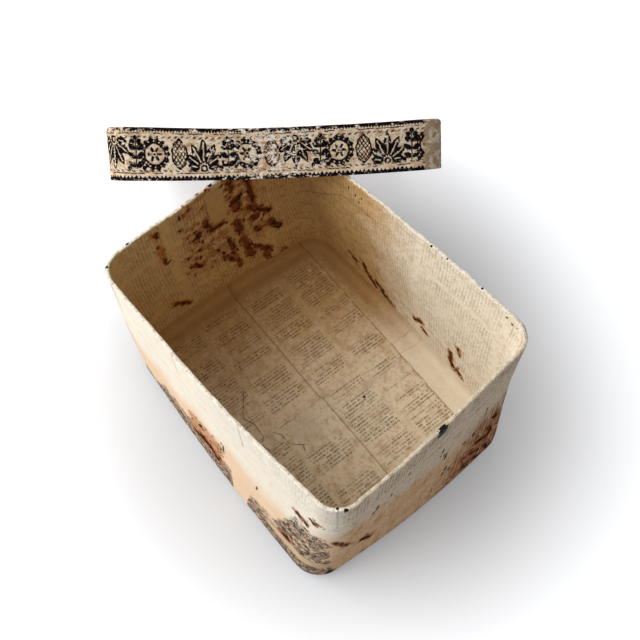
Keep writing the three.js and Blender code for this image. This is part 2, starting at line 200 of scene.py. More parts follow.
def lid_pose():
    """Where the leaning lid stands: of the two places where its upper edge crosses the rim,
    it rests on the one that it meets first."""
    away = np.array([math.cos(LID_BEARING), math.sin(LID_BEARING)])
    along = np.array([-away[1], away[0]])
    half = np.array([RIM["length"] / 2, RIM["width"] / 2])
    edge_distance = (half - RIM["radius"]) @ np.abs(away) + RIM["radius"] - LID_OVERLAP
    crossings = [
        np.array([-half[0], (edge_distance + half[0] * away[0]) / away[1]]),
        np.array([(edge_distance - half[1] * away[1]) / away[0], half[1]]),
    ]
    lean, x, inner_y = max(lid_rest(crossing, along) for crossing in crossings)
    distance = edge_distance + (inner_y + FOLD_RADIUS) * math.cos(lean)
    distance -= (FOLD_RADIUS - lid_sag(x)) * math.sin(lean)
    height = (LID["width"] / 2 + RIM["bow_long"] - FOLD_RADIUS) * math.sin(lean)
    height += FOLD_RADIUS - (FOLD_RADIUS - LID_SAG) * math.cos(lean)
    flat = np.array(RIM_SHIFT) + away * distance + along * LID_SHIFT
    place = Matrix.Translation((*flat, height))
    turn = Matrix.Rotation(LID_BEARING + math.pi / 2, 4, "Z") @ Matrix.Rotation(lean, 4, "X")
    return np.array(place @ turn)


LID_POSE = lid_pose()


def lid_wave(x, y, z):
    broad = 0.9 * noise(x / 70 + 9, y / 70, z / 40, 11)
    close = 0.3 * noise(x / 21, y / 21 + 4, z / 18, 12)
    return broad + close + 0.6 * noise(x / 7, y / 7, z / 9, 13)


def leaning(x, y, z, depth_share):
    """Where the leaning lid has a place of its own: it sags, and is deeper towards one end."""
    z = z + depth_share * LID_END_RISE * smoothstep(20, 185, x) - lid_sag(x)
    return (np.stack([x, y, z, np.ones_like(x)], -1) @ LID_POSE.T)[..., :3]


def place_on_lid(station, offset, z, share=1.0):
    """A place on the lid; share draws it in towards the middle of the top."""
    station, offset, z, share = np.broadcast_arrays(np.asarray(station, float), offset, z, share)
    x, y = outline(station, LID, 0 * offset)
    wave = lid_wave(x * share, y * share, z) * smoothstep(0, 12, z + 4)
    side = share ** 12
    x, y = outline(station, LID, offset + 0.6 * wave * side)
    return leaning(x * share, y * share, z + wave * (1 - side), z / LID_DEPTH)


def on_basket_floor(x, y, z):
    return np.stack([*rotated(x, y, BASE_TWIST), z + 0 * x], -1)


def on_lid_top(x, y, z):
    share = np.maximum(np.abs(x) / LID["length"], np.abs(y) / LID["width"]) * 2
    wave = lid_wave(x, y, 0 * x + LID_DEPTH) * (1 - np.clip(share, 0, 1) ** 12)
    return leaning(x, y, z + wave, 1.0)


def arc_marks(section):
    """Lengths along the outline at its whole stations."""
    corner = math.pi / 2 * section["radius"]
    long_side, short_side = (section[key] - 2 * section["radius"] for key in ("length", "width"))
    return np.cumsum([0] + [long_side, corner, short_side, corner] * 2)


RIM_MARKS = arc_marks(RIM)
LID_MARKS = arc_marks(LID)


def station_at(length, marks):
    """The station at a length along the outline, which may go on past its end."""
    laps = np.floor(length / marks[-1])
    return np.interp(length - laps * marks[-1], marks, range(ROUNDS + 1)) + laps * ROUNDS


def length_at(station, marks):
    laps = math.floor(station / ROUNDS)
    return float(np.interp(station - laps * ROUNDS, range(ROUNDS + 1), marks)) + laps * marks[-1]


# Profiles: lines of offset from the outer face and height


def arc(offset, z, radius, start, end, count=5):
    angles = np.radians(np.linspace(start, end, count))
    return [(offset + radius * math.cos(a), z + radius * math.sin(a)) for a in angles]


def folded_edge(top, up=1):
    """The sheet's face round the edge, from the outside to the inside."""
    outer = arc(-FOLD_RADIUS, -FOLD_RADIUS, FOLD_RADIUS, 0, 90)
    inner = arc(FOLD_RADIUS - EDGE, -FOLD_RADIUS, FOLD_RADIUS, 90, 180)
    line = outer + inner + [(-EDGE, -RAMP_START), (-WALL, -RAMP_END)]
    return [(offset, top + up * z) for offset, z in line]


def page_line():
    """A wall page's face: up the outside of the shoulder, over the rim and down the inside."""
    outside = [(0, SHOULDER_Z + GAP / 2)]
    return outside + folded_edge(BASKET_HEIGHT) + [(-WALL, FLOOR_PAGE_TOP - 4)]


def cover_lap(seam_z):
    """The top edge of a cover sheet, which laps over the sheet above it."""
    return [(0, seam_z - 6.0), (0.2, seam_z - 2.0), (0.2, seam_z + 3)]


def lower_cover_line():
    under = [(-BOTTOM_RADIUS - UNDER_LAP, 0.02)]
    bend = arc(-BOTTOM_RADIUS, BOTTOM_RADIUS, BOTTOM_RADIUS, -90, 0)
    return under + bend + cover_lap(COVER_SEAM_Z)


def lid_band_line():
    inside = [(-WALL, RAMP_END + GAP)] + folded_edge(0, up=-1)[::-1]
    outside = arc(-LID_EDGE_RADIUS, LID_DEPTH - LID_EDGE_RADIUS, LID_EDGE_RADIUS, 0, 90, 6)
    return inside + outside + [(-LID_EDGE_RADIUS - LID_TOP_LAP + GAP, LID_DEPTH)]


def hoop_loop(low):
    """A thin bent strip with eased edges, in cross-section."""
    outer, inner, ease, high = -LINING_BACK, -HOOP_BACK, 0.25, low + HOOP_HEIGHT
    return [
        (outer, low + ease), (outer, high - ease), (outer - ease, high), (inner + ease, high),
        (inner, high - ease), (inner, low + ease), (inner + ease, low), (outer - ease, low),
    ]


def lengths_along(points):
    return np.concatenate([[0], np.cumsum(np.linalg.norm(np.diff(points, axis=0), axis=1))])


def crest_of(line):
    """How far along a line its highest point lies."""
    line = np.array(line, float)
    height = line[:, 1] - abs(line[:, 0] + EDGE / 2) / 100
    return float(lengths_along(line)[np.argmax(height)])


def resampled(line, spacing):
    """Points along a line, each step split to the spacing, and their length along it."""
    line = np.array(line, float)
    points = [line[0]]
    for start, end in pairwise(line):
        count = max(1, math.ceil(np.linalg.norm(end - start) / spacing))
        points += [start + (end - start) * (i + 1) / count for i in range(count)]
    return np.array(points), lengths_along(points)


def on_line(distance, points, lengths):
    """Offsets and heights at distances along a line."""
    return (np.interp(distance, lengths, points[:, axis]) for axis in (0, 1))


# Meshes


def new_object(name, data):
    obj = bpy.data.objects.new(name, data)
    bpy.context.scene.collection.objects.link(obj)
    return obj


def add_piece(node, mesh, look, thickness=0.0):
    """Puts a detailed piece in the place of the frame's node of that name."""
    material, slot = look
    body = "lid" if node.startswith("lid_") else "basket"
    obj = new_object(node + "_detail", mesh)
    mesh.materials.append(material)
    if thickness:
        solid = obj.modifiers.new("paper_thickness", "SOLIDIFY")
        solid.thickness = thickness * MM
        solid.offset = -1
    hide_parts(node)
    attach(obj, body)


def new_mesh(name, points, quads, uv):
    mesh = bpy.data.meshes.new(name)
    mesh.from_pydata(points * MM, [], quads.tolist())
    layer = mesh.uv_layers.new(name="sheet_mm")
    layer.data.foreach_set("uv", uv[quads.reshape(-1)].astype(np.float32).reshape(-1))
    return mesh


def add_grid(
    node, points, uv, look, thickness=SHEET, keep=None, tear=None, flip=False, closed=False
):
    """A piece of quads over rows and columns of points. keep says which quads stay, and tear
    how far each point is from a tear."""
    rows, columns = points.shape[:2]
    index = np.arange(rows * columns).reshape(rows, columns)
    if closed:
        index = np.vstack([index, index[:1]])
    quads = np.stack([index[:-1, :-1], index[1:, :-1], index[1:, 1:], index[:-1, 1:]], -1)
    quads = (quads if keep is None else quads[keep]).reshape(-1, 4)
    if flip:
        quads = quads[:, ::-1]
    used, quads = np.unique(quads, return_inverse=True)
    points, uv = points.reshape(-1, 3)[used], uv.reshape(-1, 2)[used]
    mesh = new_mesh(node, points, quads.reshape(-1, 4), uv)
    tear = np.full((rows, columns), UNHURT) if tear is None else tear
    attribute = mesh.attributes.new("tear", "FLOAT", "POINT")
    attribute.data.foreach_set("value", tear.reshape(-1)[used].astype(np.float32))
    mesh.polygons.foreach_set("use_smooth", [True] * len(mesh.polygons))
    mesh.update()
    add_piece(node, mesh, look, thickness)


def add_ring(node, place, marks, loop, look):
    """A strip that closes on itself round the outline, from a closed cross-section."""
    count = math.ceil(marks[-1] / HOOP_SPACING)
    lengths = np.linspace(0, marks[-1], count, endpoint=False)
    loop = np.array(loop + loop[:1], float)
    points = place(station_at(lengths, marks)[:, None], loop[:, 0], loop[:, 1])
    uv = np.stack(np.meshgrid(lengths, lengths_along(loop), indexing="ij"), -1)
    add_grid(node, points, uv, look, thickness=0.0, closed=True)


# Tears, as strokes along the wall: length along the rim and height at either end, and half
# width. The paper is gone there and the splints show.

INNER_TEARS = (
    # left wall
    (1076, 215, 1075, 196, 2.6), (1072, 175, 1070, 157, 4.6), (1076, 133, 1074, 115, 4.2),
    (1074, 93, 1072, 60, 2.8), (1074, 57, 1070, 52, 3.4), (1062, 62, 1056, 58, 2.5),
    (1054, 52, 1046, 44, 3.0), (1052, 38, 1050, 20, 2.2), (1052, 205, 1047, 150, 2.2),
    (1054, 148, 1042, 132, 2.8), (1042, 132, 1028, 116, 2.0), (1052, 124, 1048, 120, 2.8),
    (1053, 98, 1050, 92, 2.4), (1032, 95, 1022, 78, 2.4), (1028, 24, 1022, 18, 2.2),
    (1093, 112, 1092, 45, 0.8), (1108, 85, 1096, 62, 1.4), (1115, 150, 1095, 148, 1.6),
    (1118, 175, 1110, 150, 1.6), (1136, 155, 1128, 158, 1.8), (1148, 108, 1140, 96, 1.8),
    (1183, 185, 1180, 150, 1.0), (1193, 60, 1174, 38, 1.8), (1186, 212, 1182, 206, 1.5),
    # back wall
    (907, 60, 898, 52, 0.8), (880, 62, 874, 48, 1.4), (872, 44, 860, 32, 2.0),
    (858, 44, 846, 36, 1.6), (846, 34, 828, 26, 2.2), (782, 48, 768, 56, 1.6),
    (766, 44, 758, 40, 1.0), (713, 58, 710, 42, 1.8), (712, 42, 704, 27, 2.4),
    (700, 80, 696, 72, 1.0), (698, 34, 690, 26, 1.6),
)
OUTER_TEARS = (
    # front wall
    (122, 46, 136, 50, 2.2), (138, 56, 152, 54, 4.6), (160, 50, 172, 40, 2.0),
    (293, 136, 309, 131, 1.6), (289, 57, 300, 56, 2.0), (318, 150, 324, 160, 2.0),
    # right wall
    (347, 118, 356, 108, 0.9), (356, 108, 366, 95, 0.9), (386, 76, 402, 60, 1.8),
    (552, 55, 566, 45, 2.6), (560, 70, 580, 60, 2.6), (578, 80, 584, 68, 2.2),
    (585, 96, 589, 90, 1.8), (540, 35, 552, 25, 1.6), (580, 40, 590, 16, 2.0),
    (560, 32, 574, 20, 2.0),
)


def from_stroke(x, y, x0, y0, x1, y1):
    """Distance from a straight stroke."""
    dx, dy = x1 - x0, y1 - y0
    share = np.clip(((x - x0) * dx + (y - y0) * dy) / (dx * dx + dy * dy), 0, 1)
    return np.hypot(x - x0 - share * dx, y - y0 - share * dy)


def tear_field(length, height, tears, seed):
    """Distance to the nearest tear's ragged edge, less than nothing inside the tear."""
    nearest = np.full(length.shape, NO_TEAR)
    for *stroke, half_width in tears:
        nearest = np.minimum(nearest, from_stroke(length, height, *stroke) - half_width)
    ragged = 2.4 * noise(length / 4.5, height / 4.5, 0, seed)
    ragged = ragged + 1.4 * noise(length / 2.4, height / 2.4, 0, seed + 1)
    return nearest + ragged * np.exp(-np.abs(nearest) / 7)


def snapped(length, distance, field, spacing):
    """Moves grid points that lie just inside a tear onto its edge."""
    slopes = np.gradient(field)
    slope_l = slopes[0] / np.gradient(length, axis=0)
    slope_d = slopes[1] / np.gradient(distance, axis=1)
    size = slope_l ** 2 + slope_d ** 2 + 1e-6
    inside = (field < 0) & (field > -1.5 * spacing)
    moves = (np.clip(-field * slope / size, -spacing, spacing) for slope in (slope_l, slope_d))
    move_l, move_d = (np.where(inside, move, 0) for move in moves)
    return length + move_l, distance + move_d


def wall_sheet(node, line, crest, first, last, spacing, tears, look, seed):
    """A length of sheet along the basket's outline, torn open and curled up at its tears. Its
    UV runs in millimetres: along the rim, and from the crest of the line."""
    points, lengths = resampled(line, spacing)
    start, end = length_at(first, RIM_MARKS), length_at(last, RIM_MARKS)
    count = max(2, math.ceil((end - start) / spacing))
    along = np.linspace(start, end + SHEET_LAP, count + 1)
    length, distance = np.meshgrid(along, lengths, indexing="ij")
    share = (length - start) / (end - start)
    length = length + 0.5 * noise(distance / 16, 0, seed, 21) * (share - 0.5) * 2
    offset, height = on_line(distance, points, lengths)
    inner = offset < -EDGE / 2
    field = tear_field(length % RIM_MARKS[-1], height, tears, seed)
    field = np.where(inner == (tears is INNER_TEARS), field, NO_TEAR)
    moved_length, moved_distance = snapped(length, distance, field, spacing)
    offset, height = on_line(moved_distance, points, lengths)
    torn = smoothstep(12, 0, np.minimum(distance, lengths[-1] - distance)) * (height > 30)
    ragged = 2.6 * noise(length / 25, 0, seed, 22) + 1.1 * noise(length / 6, 0, seed, 23)
    facing = np.where(offset < -EDGE / 2, -1.0, 1.0)
    lifted = 0.1 * smoothstep(end - 4, end + 1, length)
    curled = 0.4 * np.exp(-np.clip(field, 0, NO_TEAR) / 1.6) * (field < 20)
    station, offset = station_at(moved_length, RIM_MARKS), offset + facing * (lifted + curled)
    place = place_on_basket(station, offset, height + torn * ragged)
    gone = field < 0
    keep = ~(gone[:-1, :-1] & gone[1:, :-1] & gone[1:, 1:] & gone[:-1, 1:])
    uv = np.stack([moved_length % (4 * RIM_MARKS[-1]), moved_distance - crest], -1)
    add_grid(node, place, uv, look, keep=keep, tear=np.clip(field, -5, UNHURT))


# The floor, in millimetres from its middle along the basket's sides

FLOOR_CREASES = (  # width, height and bends
    (3.2, 1.5, ((-72, -56), (-50, -74), (-34, -84), (-4, -88))),
    (2.6, 1.3, ((-34, -84), (-16, -72), (10, -76), (24, -80))),
    (2.8, 1.2, ((-4, -88), (14, -96), (31, -99))),
    (2.4, 1.2, ((24, -80), (47, -56), (52, -48))),
)


def crease(x, y, width, height, line):
    """A wrinkle of paper that stands up along a bent line."""
    nearest = np.min([from_stroke(x, y, *start, *end) for start, end in pairwise(line)], axis=0)
    return height * np.exp(-((nearest / width) ** 2))


def floor_relief(x, y):
    """Swellings and wrinkles of the paper on the floor."""
    swell = 0.7 + 0.7 * noise(x / 55, y / 55, 0, 31) + 0.25 * noise(x / 17, y / 17, 0, 32)
    return np.maximum(swell, 0) + sum(crease(x, y, *row) for row in FLOOR_CREASES)


def floor_edge(station):
    x, y, z = np.moveaxis(basket_form(np.asarray(station, float), -BOTTOM_RADIUS, WALL), -1, 0)
    return np.stack(rotated(x, y, -BASE_TWIST), -1)


def seam_end(side, seams):
    """The station on one side of the floor's edge at which the seam that runs there ends."""
    axis = side % 2
    stations = np.linspace(2 * side, 2 * side + 1, 400)
    found = floor_edge(stations)[..., axis]
    order = np.argsort(found)
    return float(np.interp(seams[axis], found[order], stations[order]))


def floor_page(number, sides, lap_x, lap_y, look):
    """A quarter of the floor, spread like a fan from where the seams cross to the wall, up
    which it turns. A page that laps its neighbour lies on it there."""
    seams = (FLOOR_SEAM[0] - 4 * lap_x, FLOOR_SEAM[1] + 4 * lap_y)
    first, last = (seam_end(side, seams) for side in sides)
    last += ROUNDS if last < first else 0
    arc_length = length_at(last, RIM_MARKS) - length_at(first, RIM_MARKS)
    stations = np.linspace(first, last, math.ceil(arc_length / FLOOR_SPACING) + 1)
    shares = np.linspace(0, 1, 80)
    x, y = (
        start + (edge[:, None] - start) * shares
        for start, edge in zip(seams, floor_edge(stations).T)
    )
    raised = 0.6 * lap_x * smoothstep(-15, -9, -x) + 0.6 * lap_y * smoothstep(-3, 2, y)
    z = WALL + (floor_relief(x, y) + raised) * smoothstep(1.0, 0.93, shares)
    flat = on_basket_floor(x, y, z)
    rise = arc(-BOTTOM_RADIUS, BOTTOM_RADIUS, BOTTOM_RADIUS - WALL, -90, 0, 8)[1:]
    climb = np.arange(BOTTOM_RADIUS + 2, FLOOR_PAGE_TOP + 1, 2.0)
    rise = np.array(rise + [(-WALL + 0.3, z) for z in climb])
    ragged = 0.8 * noise(stations[:, None] * 9, 0, 0, number) * smoothstep(14, 26, rise[:, 1])
    wall = place_on_basket(stations[:, None], rise[:, 0] - 0.3, rise[:, 1] + ragged)
    outward = np.stack(rotated(wall[..., 0], wall[..., 1], -BASE_TWIST), -1)
    outward = outward * (1 + np.linspace(1, 30, len(rise))[:, None] / 400)
    uv = np.concatenate([np.stack([x, y], -1), outward], 1)
    add_grid(f"floor_page_{number}", np.concatenate([flat, wall], 1), uv, look, flip=True)


def base_sheet(look):
    stations = np.linspace(0, ROUNDS, 260)[:, None]
    shares = np.linspace(0, 1, 36)
    edge = basket_form(stations, -BOTTOM_RADIUS - UNDER_LAP - GAP, 0.05)
    points = edge * np.stack([shares, shares, 0 * shares + 1], -1)
    add_grid("base_sheet", points, points[..., :2], look)


# Plaited splints

SPLINT_THICK = 0.44
WEAVE = 0.34
MID_SPLINT = (SPLINT_FACE + SPLINT_BACK) / 2
PITCH = 9.4
ROW_PITCH = 8.7
STRIP_HALF = 0.46
STRIP_STEP = 20


def strips(place_side, near, far, centre, run, width):
    """Thin flat strips, as points, quads and UVs. place_side puts one side of all strips at
    an offset, run is the length along them, and each strip's UV has a step of its own."""
    thick = SPLINT_THICK / 2
    corners = ((near, thick), (far, thick), (far, -thick), (near, -thick))
    edges = np.stack([place_side(side, centre + offset) for side, offset in corners], 2)
    count = len(edges)
    index = np.arange(edges.size // 3).reshape(edges.shape[:3])
    faces = []
    for i, j in ((0, 1), (1, 2), (2, 3), (3, 0)):
        turn = (index[:, :-1, i], index[:, 1:, i], index[:, 1:, j], index[:, :-1, j])
        faces.append(np.stack(turn, -1).reshape(-1, 4))
    faces += [index[:, 0, ::-1], index[:, -1, :]]
    across = width * np.array([0.0, 1.0, 1.0, 0.0]) + np.arange(count)[:, None, None] * STRIP_STEP
    run = np.broadcast_to(run, centre.shape)[..., None]
    uv = np.stack([np.broadcast_to(side, index.shape) for side in (run, across)], -1)
    return edges.reshape(-1, 3), np.concatenate(faces), uv.reshape(-1, 2)


def woven_wall(place, marks, low, high):
    """Uprights and rows, over and under one another, up a wall."""
    uprights = 2 * round(marks[-1] / PITCH / 2)
    rows = round((high - low) / ROW_PITCH)
    row_height = (high - low) / rows
    lengths = marks[-1] * np.arange(2 * uprights) / uprights / 2
    levels = np.arange(2 * rows + 1)
    heights = low + row_height * levels / 2
    over = np.cos(np.pi * np.arange(uprights)[:, None] + np.pi * (levels - 1) / 2)
    left, right = (
        station_at(lengths[::2] + side * PITCH * STRIP_HALF, marks)[:, None] for side in (-1, 1)
    )
    standing = strips(
        lambda side, offset: place(side, offset, heights),
        left, right, WEAVE * over - MID_SPLINT, heights, PITCH,
    )

    around = np.arange(2 * uprights + 1)
    stations = station_at(lengths, marks)
    turn = np.append(stations, stations[0] + ROUNDS)
    row = np.arange(rows)[:, None]
    over = -np.cos(np.pi * around / 2 + np.pi * row)
    middle = low + row_height * (row + 0.5) + 0.35 * noise(around / 9, row * 3.7, 0, 41)
    up, down = (middle + side * row_height * STRIP_HALF for side in (1, -1))
    lying = strips(
        lambda side, offset: place(turn, offset, side),
        up, down, WEAVE * over - MID_SPLINT, around * PITCH / 2, row_height,
    )
    return [standing, lying]


def woven_flat(place, half_x, half_y, corner, middle):
    """Splints across one another on a floor or a top, within a rounded rectangle."""
    parts = []
    for turned, reach, span in ((False, half_x, half_y), (True, half_y, half_x)):
        count = 2 * round(span / PITCH) - 1
        across = (np.arange(count) - (count - 1) / 2) * PITCH
        beyond = np.clip(np.abs(across) - (span - corner), 0, corner - 0.1)
        ends = reach - corner + np.sqrt(corner ** 2 - beyond ** 2)
        run = np.linspace(-1, 1, 2 * math.ceil(reach / PITCH) + 1) * ends[:, None]
        over = np.cos(np.pi * run / PITCH) * np.cos(np.pi * np.arange(count))[:, None]
        over = -over if turned else over

        def place_side(side, z):
            x, y = run, np.broadcast_to(across[:, None] + side, run.shape)
            return place(y, x, z) if turned else place(x, y, z)

        half = PITCH * STRIP_HALF
        parts.append(strips(place_side, -half, half, middle + WEAVE * over, run, PITCH))
    return parts


def add_core(node, parts, look):
    """One piece of all its strips."""
    points, quads, uvs, total = [], [], [], 0
    for part_points, part_quads, part_uv in parts:
        points.append(part_points)
        quads.append(part_quads + total)
        uvs.append(part_uv)
        total += len(part_points)
    mesh = new_mesh(node, np.concatenate(points), np.concatenate(quads), np.concatenate(uvs))
    mesh.update()
    add_piece(node, mesh, look)


# The lid's sheets


def lid_sheet(node, line, crest, first, last, spacing, look):
    """A length of sheet round the lid. Its UV runs along the edge, and from the crest."""
    points, lengths = resampled(line, spacing)
    start, end = length_at(first, LID_MARKS), length_at(last, LID_MARKS)
    along = np.linspace(start, end, math.ceil((end - start) / spacing) + 1)
    length, distance = np.meshgrid(along, lengths, indexing="ij")
    place = place_on_lid(station_at(length, LID_MARKS), *on_line(distance, points, lengths))
    add_grid(node, place, np.stack([length, distance - crest], -1), look)


def lid_fan(node, line, first, last, z, look, flip=False):
    """A sheet of the lid's top, from the middle out to an edge and on along a line."""
    arc_length = length_at(last, LID_MARKS) - length_at(first, LID_MARKS)
    stations = np.linspace(first, last, math.ceil(arc_length / FAN_SPACING) + 1)[:, None]
    shares = np.linspace(0, 1, 60)[:-1]
    offsets, heights = np.array(line, float).T
    flat = place_on_lid(stations, offsets[0], z, shares)
    wall = place_on_lid(stations, offsets, heights)
    out = np.concatenate([shares, 1 + np.linspace(0, 0.08, len(line))])
    x, y = outline(stations, LID, offsets[0])
    uv = np.stack([x * out, y * out], -1) + [0, LID["width"]]
    add_grid(node, np.concatenate([flat, wall], 1), uv, look, flip=flip)


# Materials. Patterns are formulas of a sheet's own millimetres, written with Value.


def add_node(tree, kind, inputs, **settings):
    """A shader node. Its inputs, by name or number, are Values to link, numbers or colours."""
    node = tree.nodes.new("ShaderNode" + kind)
    for name, value in settings.items():
        setattr(node, name, value)
    for key, value in inputs.items():
        if isinstance(value, Value):
            tree.links.new(value.socket, node.inputs[key])
        else:
            node.inputs[key].default_value = value
    return node


class Value:
    """A number or colour in a node tree. Numbers can be used in sums and products."""

    def __init__(self, tree, socket):
        self.tree, self.socket = tree, socket

    def math(self, operation, *others):
        inputs = dict(enumerate((self, *others)))
        return Value(self.tree, add_node(self.tree, "Math", inputs, operation=operation).outputs[0])

    __add__ = __radd__ = functools.partialmethod(math, "ADD")
    __sub__ = functools.partialmethod(math, "SUBTRACT")
    __mul__ = __rmul__ = functools.partialmethod(math, "MULTIPLY")
    __truediv__ = functools.partialmethod(math, "DIVIDE")
    abs = functools.partialmethod(math, "ABSOLUTE")
    floor = functools.partialmethod(math, "FLOOR")
    sin = functools.partialmethod(math, "SINE")
    cos = functools.partialmethod(math, "COSINE")
    min = functools.partialmethod(math, "MINIMUM")
    max = functools.partialmethod(math, "MAXIMUM")
    modulo = functools.partialmethod(math, "FLOORED_MODULO")

    def __rsub__(self, other):
        return (self * -1) + other

    def step(self, low, high):
        """0 up to low and 1 from high on, or the other way round, smooth between them."""
        first, last = sorted((low, high))
        ends = {"To Min": float(low > high), "To Max": float(low < high)}
        inputs = {"Value": self, "From Min": first, "From Max": last, **ends}
        node = add_node(self.tree, "MapRange", inputs, interpolation_type="SMOOTHSTEP")
        return Value(self.tree, node.outputs["Result"])

    def inside(self, low, high, soft=0.5):
        """1 between two bounds and 0 outside them."""
        return self.step(low - soft, low + soft) * self.step(high + soft, high - soft)

    def bent(self, ripples, size):
        """Shifted to and fro by noise."""
        return self + (ripples - 0.5) * size

    def filled(self):
        """Ink where a distance is less than nothing."""
        return self.step(0.3, -0.3)

    def beyond(self):
        return self.step(-0.3, 0.3)


def least(values):
    return functools.reduce(Value.min, values)


def most(values):
    return functools.reduce(Value.max, values)


def length_of(x, y):
    return (x * x + y * y).math("SQRT")


def linear(color):
    """A colour from 0 to 255 a channel, as light."""
    channels = [c / 255 for c in color]
    return [c / 12.92 if c <= 0.04045 else ((c + 0.055) / 1.055) ** 2.4 for c in channels] + [1.0]


def shaded(color, *shares):
    """A colour times one share, or a share for each channel."""
    return [min(255, c * k) for c, k in zip(color, shares * (3 // len(shares)))]


# Where a mix node has its colours
COLOR_A, COLOR_B, COLOR_RESULT = 6, 7, 2


class Paint:
    """A material and the helpers that build its nodes. u and v are the sheet's millimetres,
    up is what its ripples run along, and base is its colour so far."""

    def __init__(self, name, seed=0.0, roughness=0.85, specular=0.12):
        self.material = bpy.data.materials.new(name)
        self.material.use_nodes = True
        self.tree = self.material.node_tree
        self.shader = self.tree.nodes["Principled BSDF"]
        self.shader.inputs["Roughness"].default_value = roughness
        self.shader.inputs["Specular IOR Level"].default_value = specular
        self.seed = seed
        uv = add_node(self.tree, "UVMap", {}, uv_map="sheet_mm")
        self.u, self.v = self.split("SeparateXYZ", Value(self.tree, uv.outputs["UV"]))
        self.up = self.v

    def split(self, kind, value):
        node = add_node(self.tree, kind, {0: value})
        return [Value(self.tree, socket) for socket in node.outputs[:2]]

    def pattern(self, kind, output, place, **inputs):
        place = add_node(self.tree, "CombineXYZ", dict(enumerate(place)))
        inputs["Vector"] = Value(self.tree, place.outputs[0])
        return Value(self.tree, add_node(self.tree, kind, inputs).outputs[output])

    def noise(self, x, y, z=0.0, detail=2.0, rough=0.5):
        """Noise about 0.5 over coordinates that are 1 a ripple."""
        settings = {"Scale": 1.0, "Detail": detail, "Roughness": rough}
        return self.pattern("TexNoise", "Fac", (x, y, z), **settings)

    def ripples(self, across, along, number, detail=2.0, rough=0.5):
        """Noise over the sheet, with ripples of that many millimetres."""
        return self.noise(self.u / across, self.up / along, self.seed + number, detail, rough)

    def white(self, x, y):
        return self.pattern("TexWhiteNoise", "Value", (x, y, 0.0))

    def cells(self, x, y, z):
        """Two random numbers for each of the angular cells that fill the plane."""
        color = self.pattern("TexVoronoi", "Color", (x, y, z), Scale=1.0)
        return self.split("SeparateColor", color)

    def field(self, name):
        node = add_node(self.tree, "Attribute", {}, attribute_name=name)
        return Value(self.tree, node.outputs["Fac"])

    def mix(self, share, first, second):
        """Between two colours, each a colour of 0 to 255 or what mix() made."""
        first, second = (c if isinstance(c, Value) else linear(c) for c in (first, second))
        inputs = {"Factor": share, COLOR_A: first, COLOR_B: second}
        node = add_node(self.tree, "Mix", inputs, data_type="RGBA", clamp_factor=True)
        return Value(self.tree, node.outputs[COLOR_RESULT])

    def lay(self, share, color):
        """Covers the paint so far with a colour, as far as share says."""
        self.base = self.mix(share, self.base, color)

    def coats(self, *rows):
        """Lays colours where noises go from low to high, each up to its own share."""
        for field, low, high, share, color in rows:
            self.lay(field.step(low, high) * share, color)

    def finished(self, relief, roughness=None):
        """The material, with its colour and its relief in millimetres."""
        bump = add_node(self.tree, "Bump", {"Strength": 1.0, "Distance": MM, "Height": relief})
        links = {"Base Color": self.base.socket, "Normal": bump.outputs["Normal"]}
        if roughness:
            links["Roughness"] = roughness.socket
        for name, socket in links.items():
            self.tree.links.new(socket, self.shader.inputs[name])
        return self.material


TYPE_PITCH = 4.4
DOT_PITCH = 2.5


def printed_rows(paint, across, along, dotted):
    """Rows of small worn dashes, too broken to be letters. dotted is the share of the ink that
    comes and goes along a row."""
    row = (across / TYPE_PITCH).floor()
    band = (across / TYPE_PITCH - row - 0.5).abs().step(0.38, 0.14)
    drift = paint.noise(along * 0.3, row * 7.3, paint.seed)
    dots = ((along + drift * 6.0) * (2 * math.pi / DOT_PITCH) + row * 2.4).cos().step(-0.7, 0.5)
    words = paint.noise(along * 0.24, row * 5.7, paint.seed + 9, 1.0).step(0.34, 0.5)
    return band * (dots * dotted + (1 - dotted)) * words


def spots(x, y, places):
    """How far outside the nearest of some oval spots, in radii; less than nothing inside."""
    return least(
        length_of((x - spot_x) / reach_x, (y - spot_y) / reach_y) - 1.0
        for spot_x, spot_y, reach_x, reach_y in places
    )


def from_segment(x, y, x0, y0, x1, y1):
    dx, dy = x1 - x0, y1 - y0
    across, down = x - x0, y - y0
    share = ((across * dx + down * dy) / (dx * dx + dy * dy)).max(0.0).min(1.0)
    return length_of(across - share * dx, down - share * dy)


def from_lines(x, y, lines):
    """Distance from the nearest of some thin bent lines."""
    ends = [(*start, *end) for line in lines for start, end in pairwise(line)]
    return least(from_segment(x, y, *segment) for segment in ends)


def damage(paint, chance, brown, dark):
    """Flakes of torn paper and dark chips, denser round the tears, and the torn lip itself.
    chance adds flakes where there is no tear near."""
    u, v, seed = paint.u, paint.v, paint.seed
    tear = paint.field("tear")
    bent_u = u.bent(paint.noise(u / 3.5, v / 3.5, seed + 40), 7.0)
    bent_v = v.bent(paint.noise(u / 3.5, v / 3.5, seed + 41), 7.0)
    pick, tone = paint.cells(bent_u / 3.6, bent_v / 5.4, seed)
    patchy = paint.noise(u / 14, v / 14, seed + 42).step(0.3, 0.6)
    likely = tear.step(9.0, -1.0) * 0.56 * patchy + chance
    paint.lay(likely.min(0.5) * 0.6, brown)
    flake = (likely - pick).step(0.0, 0.03)
    lip = tear.bent(patchy, 2.0).step(4.0, 2.8)
    paint.lay(flake.max(lip) * 0.85, brown)
    paint.lay(flake * tone.step(0.56, 0.60) * 0.9, dark)
    # The paper right at the edge of each hole is darkened: painted shade of the hole.
    paint.lay(tear.step(0.7, 0.1) * 0.7, dark)
    return flake


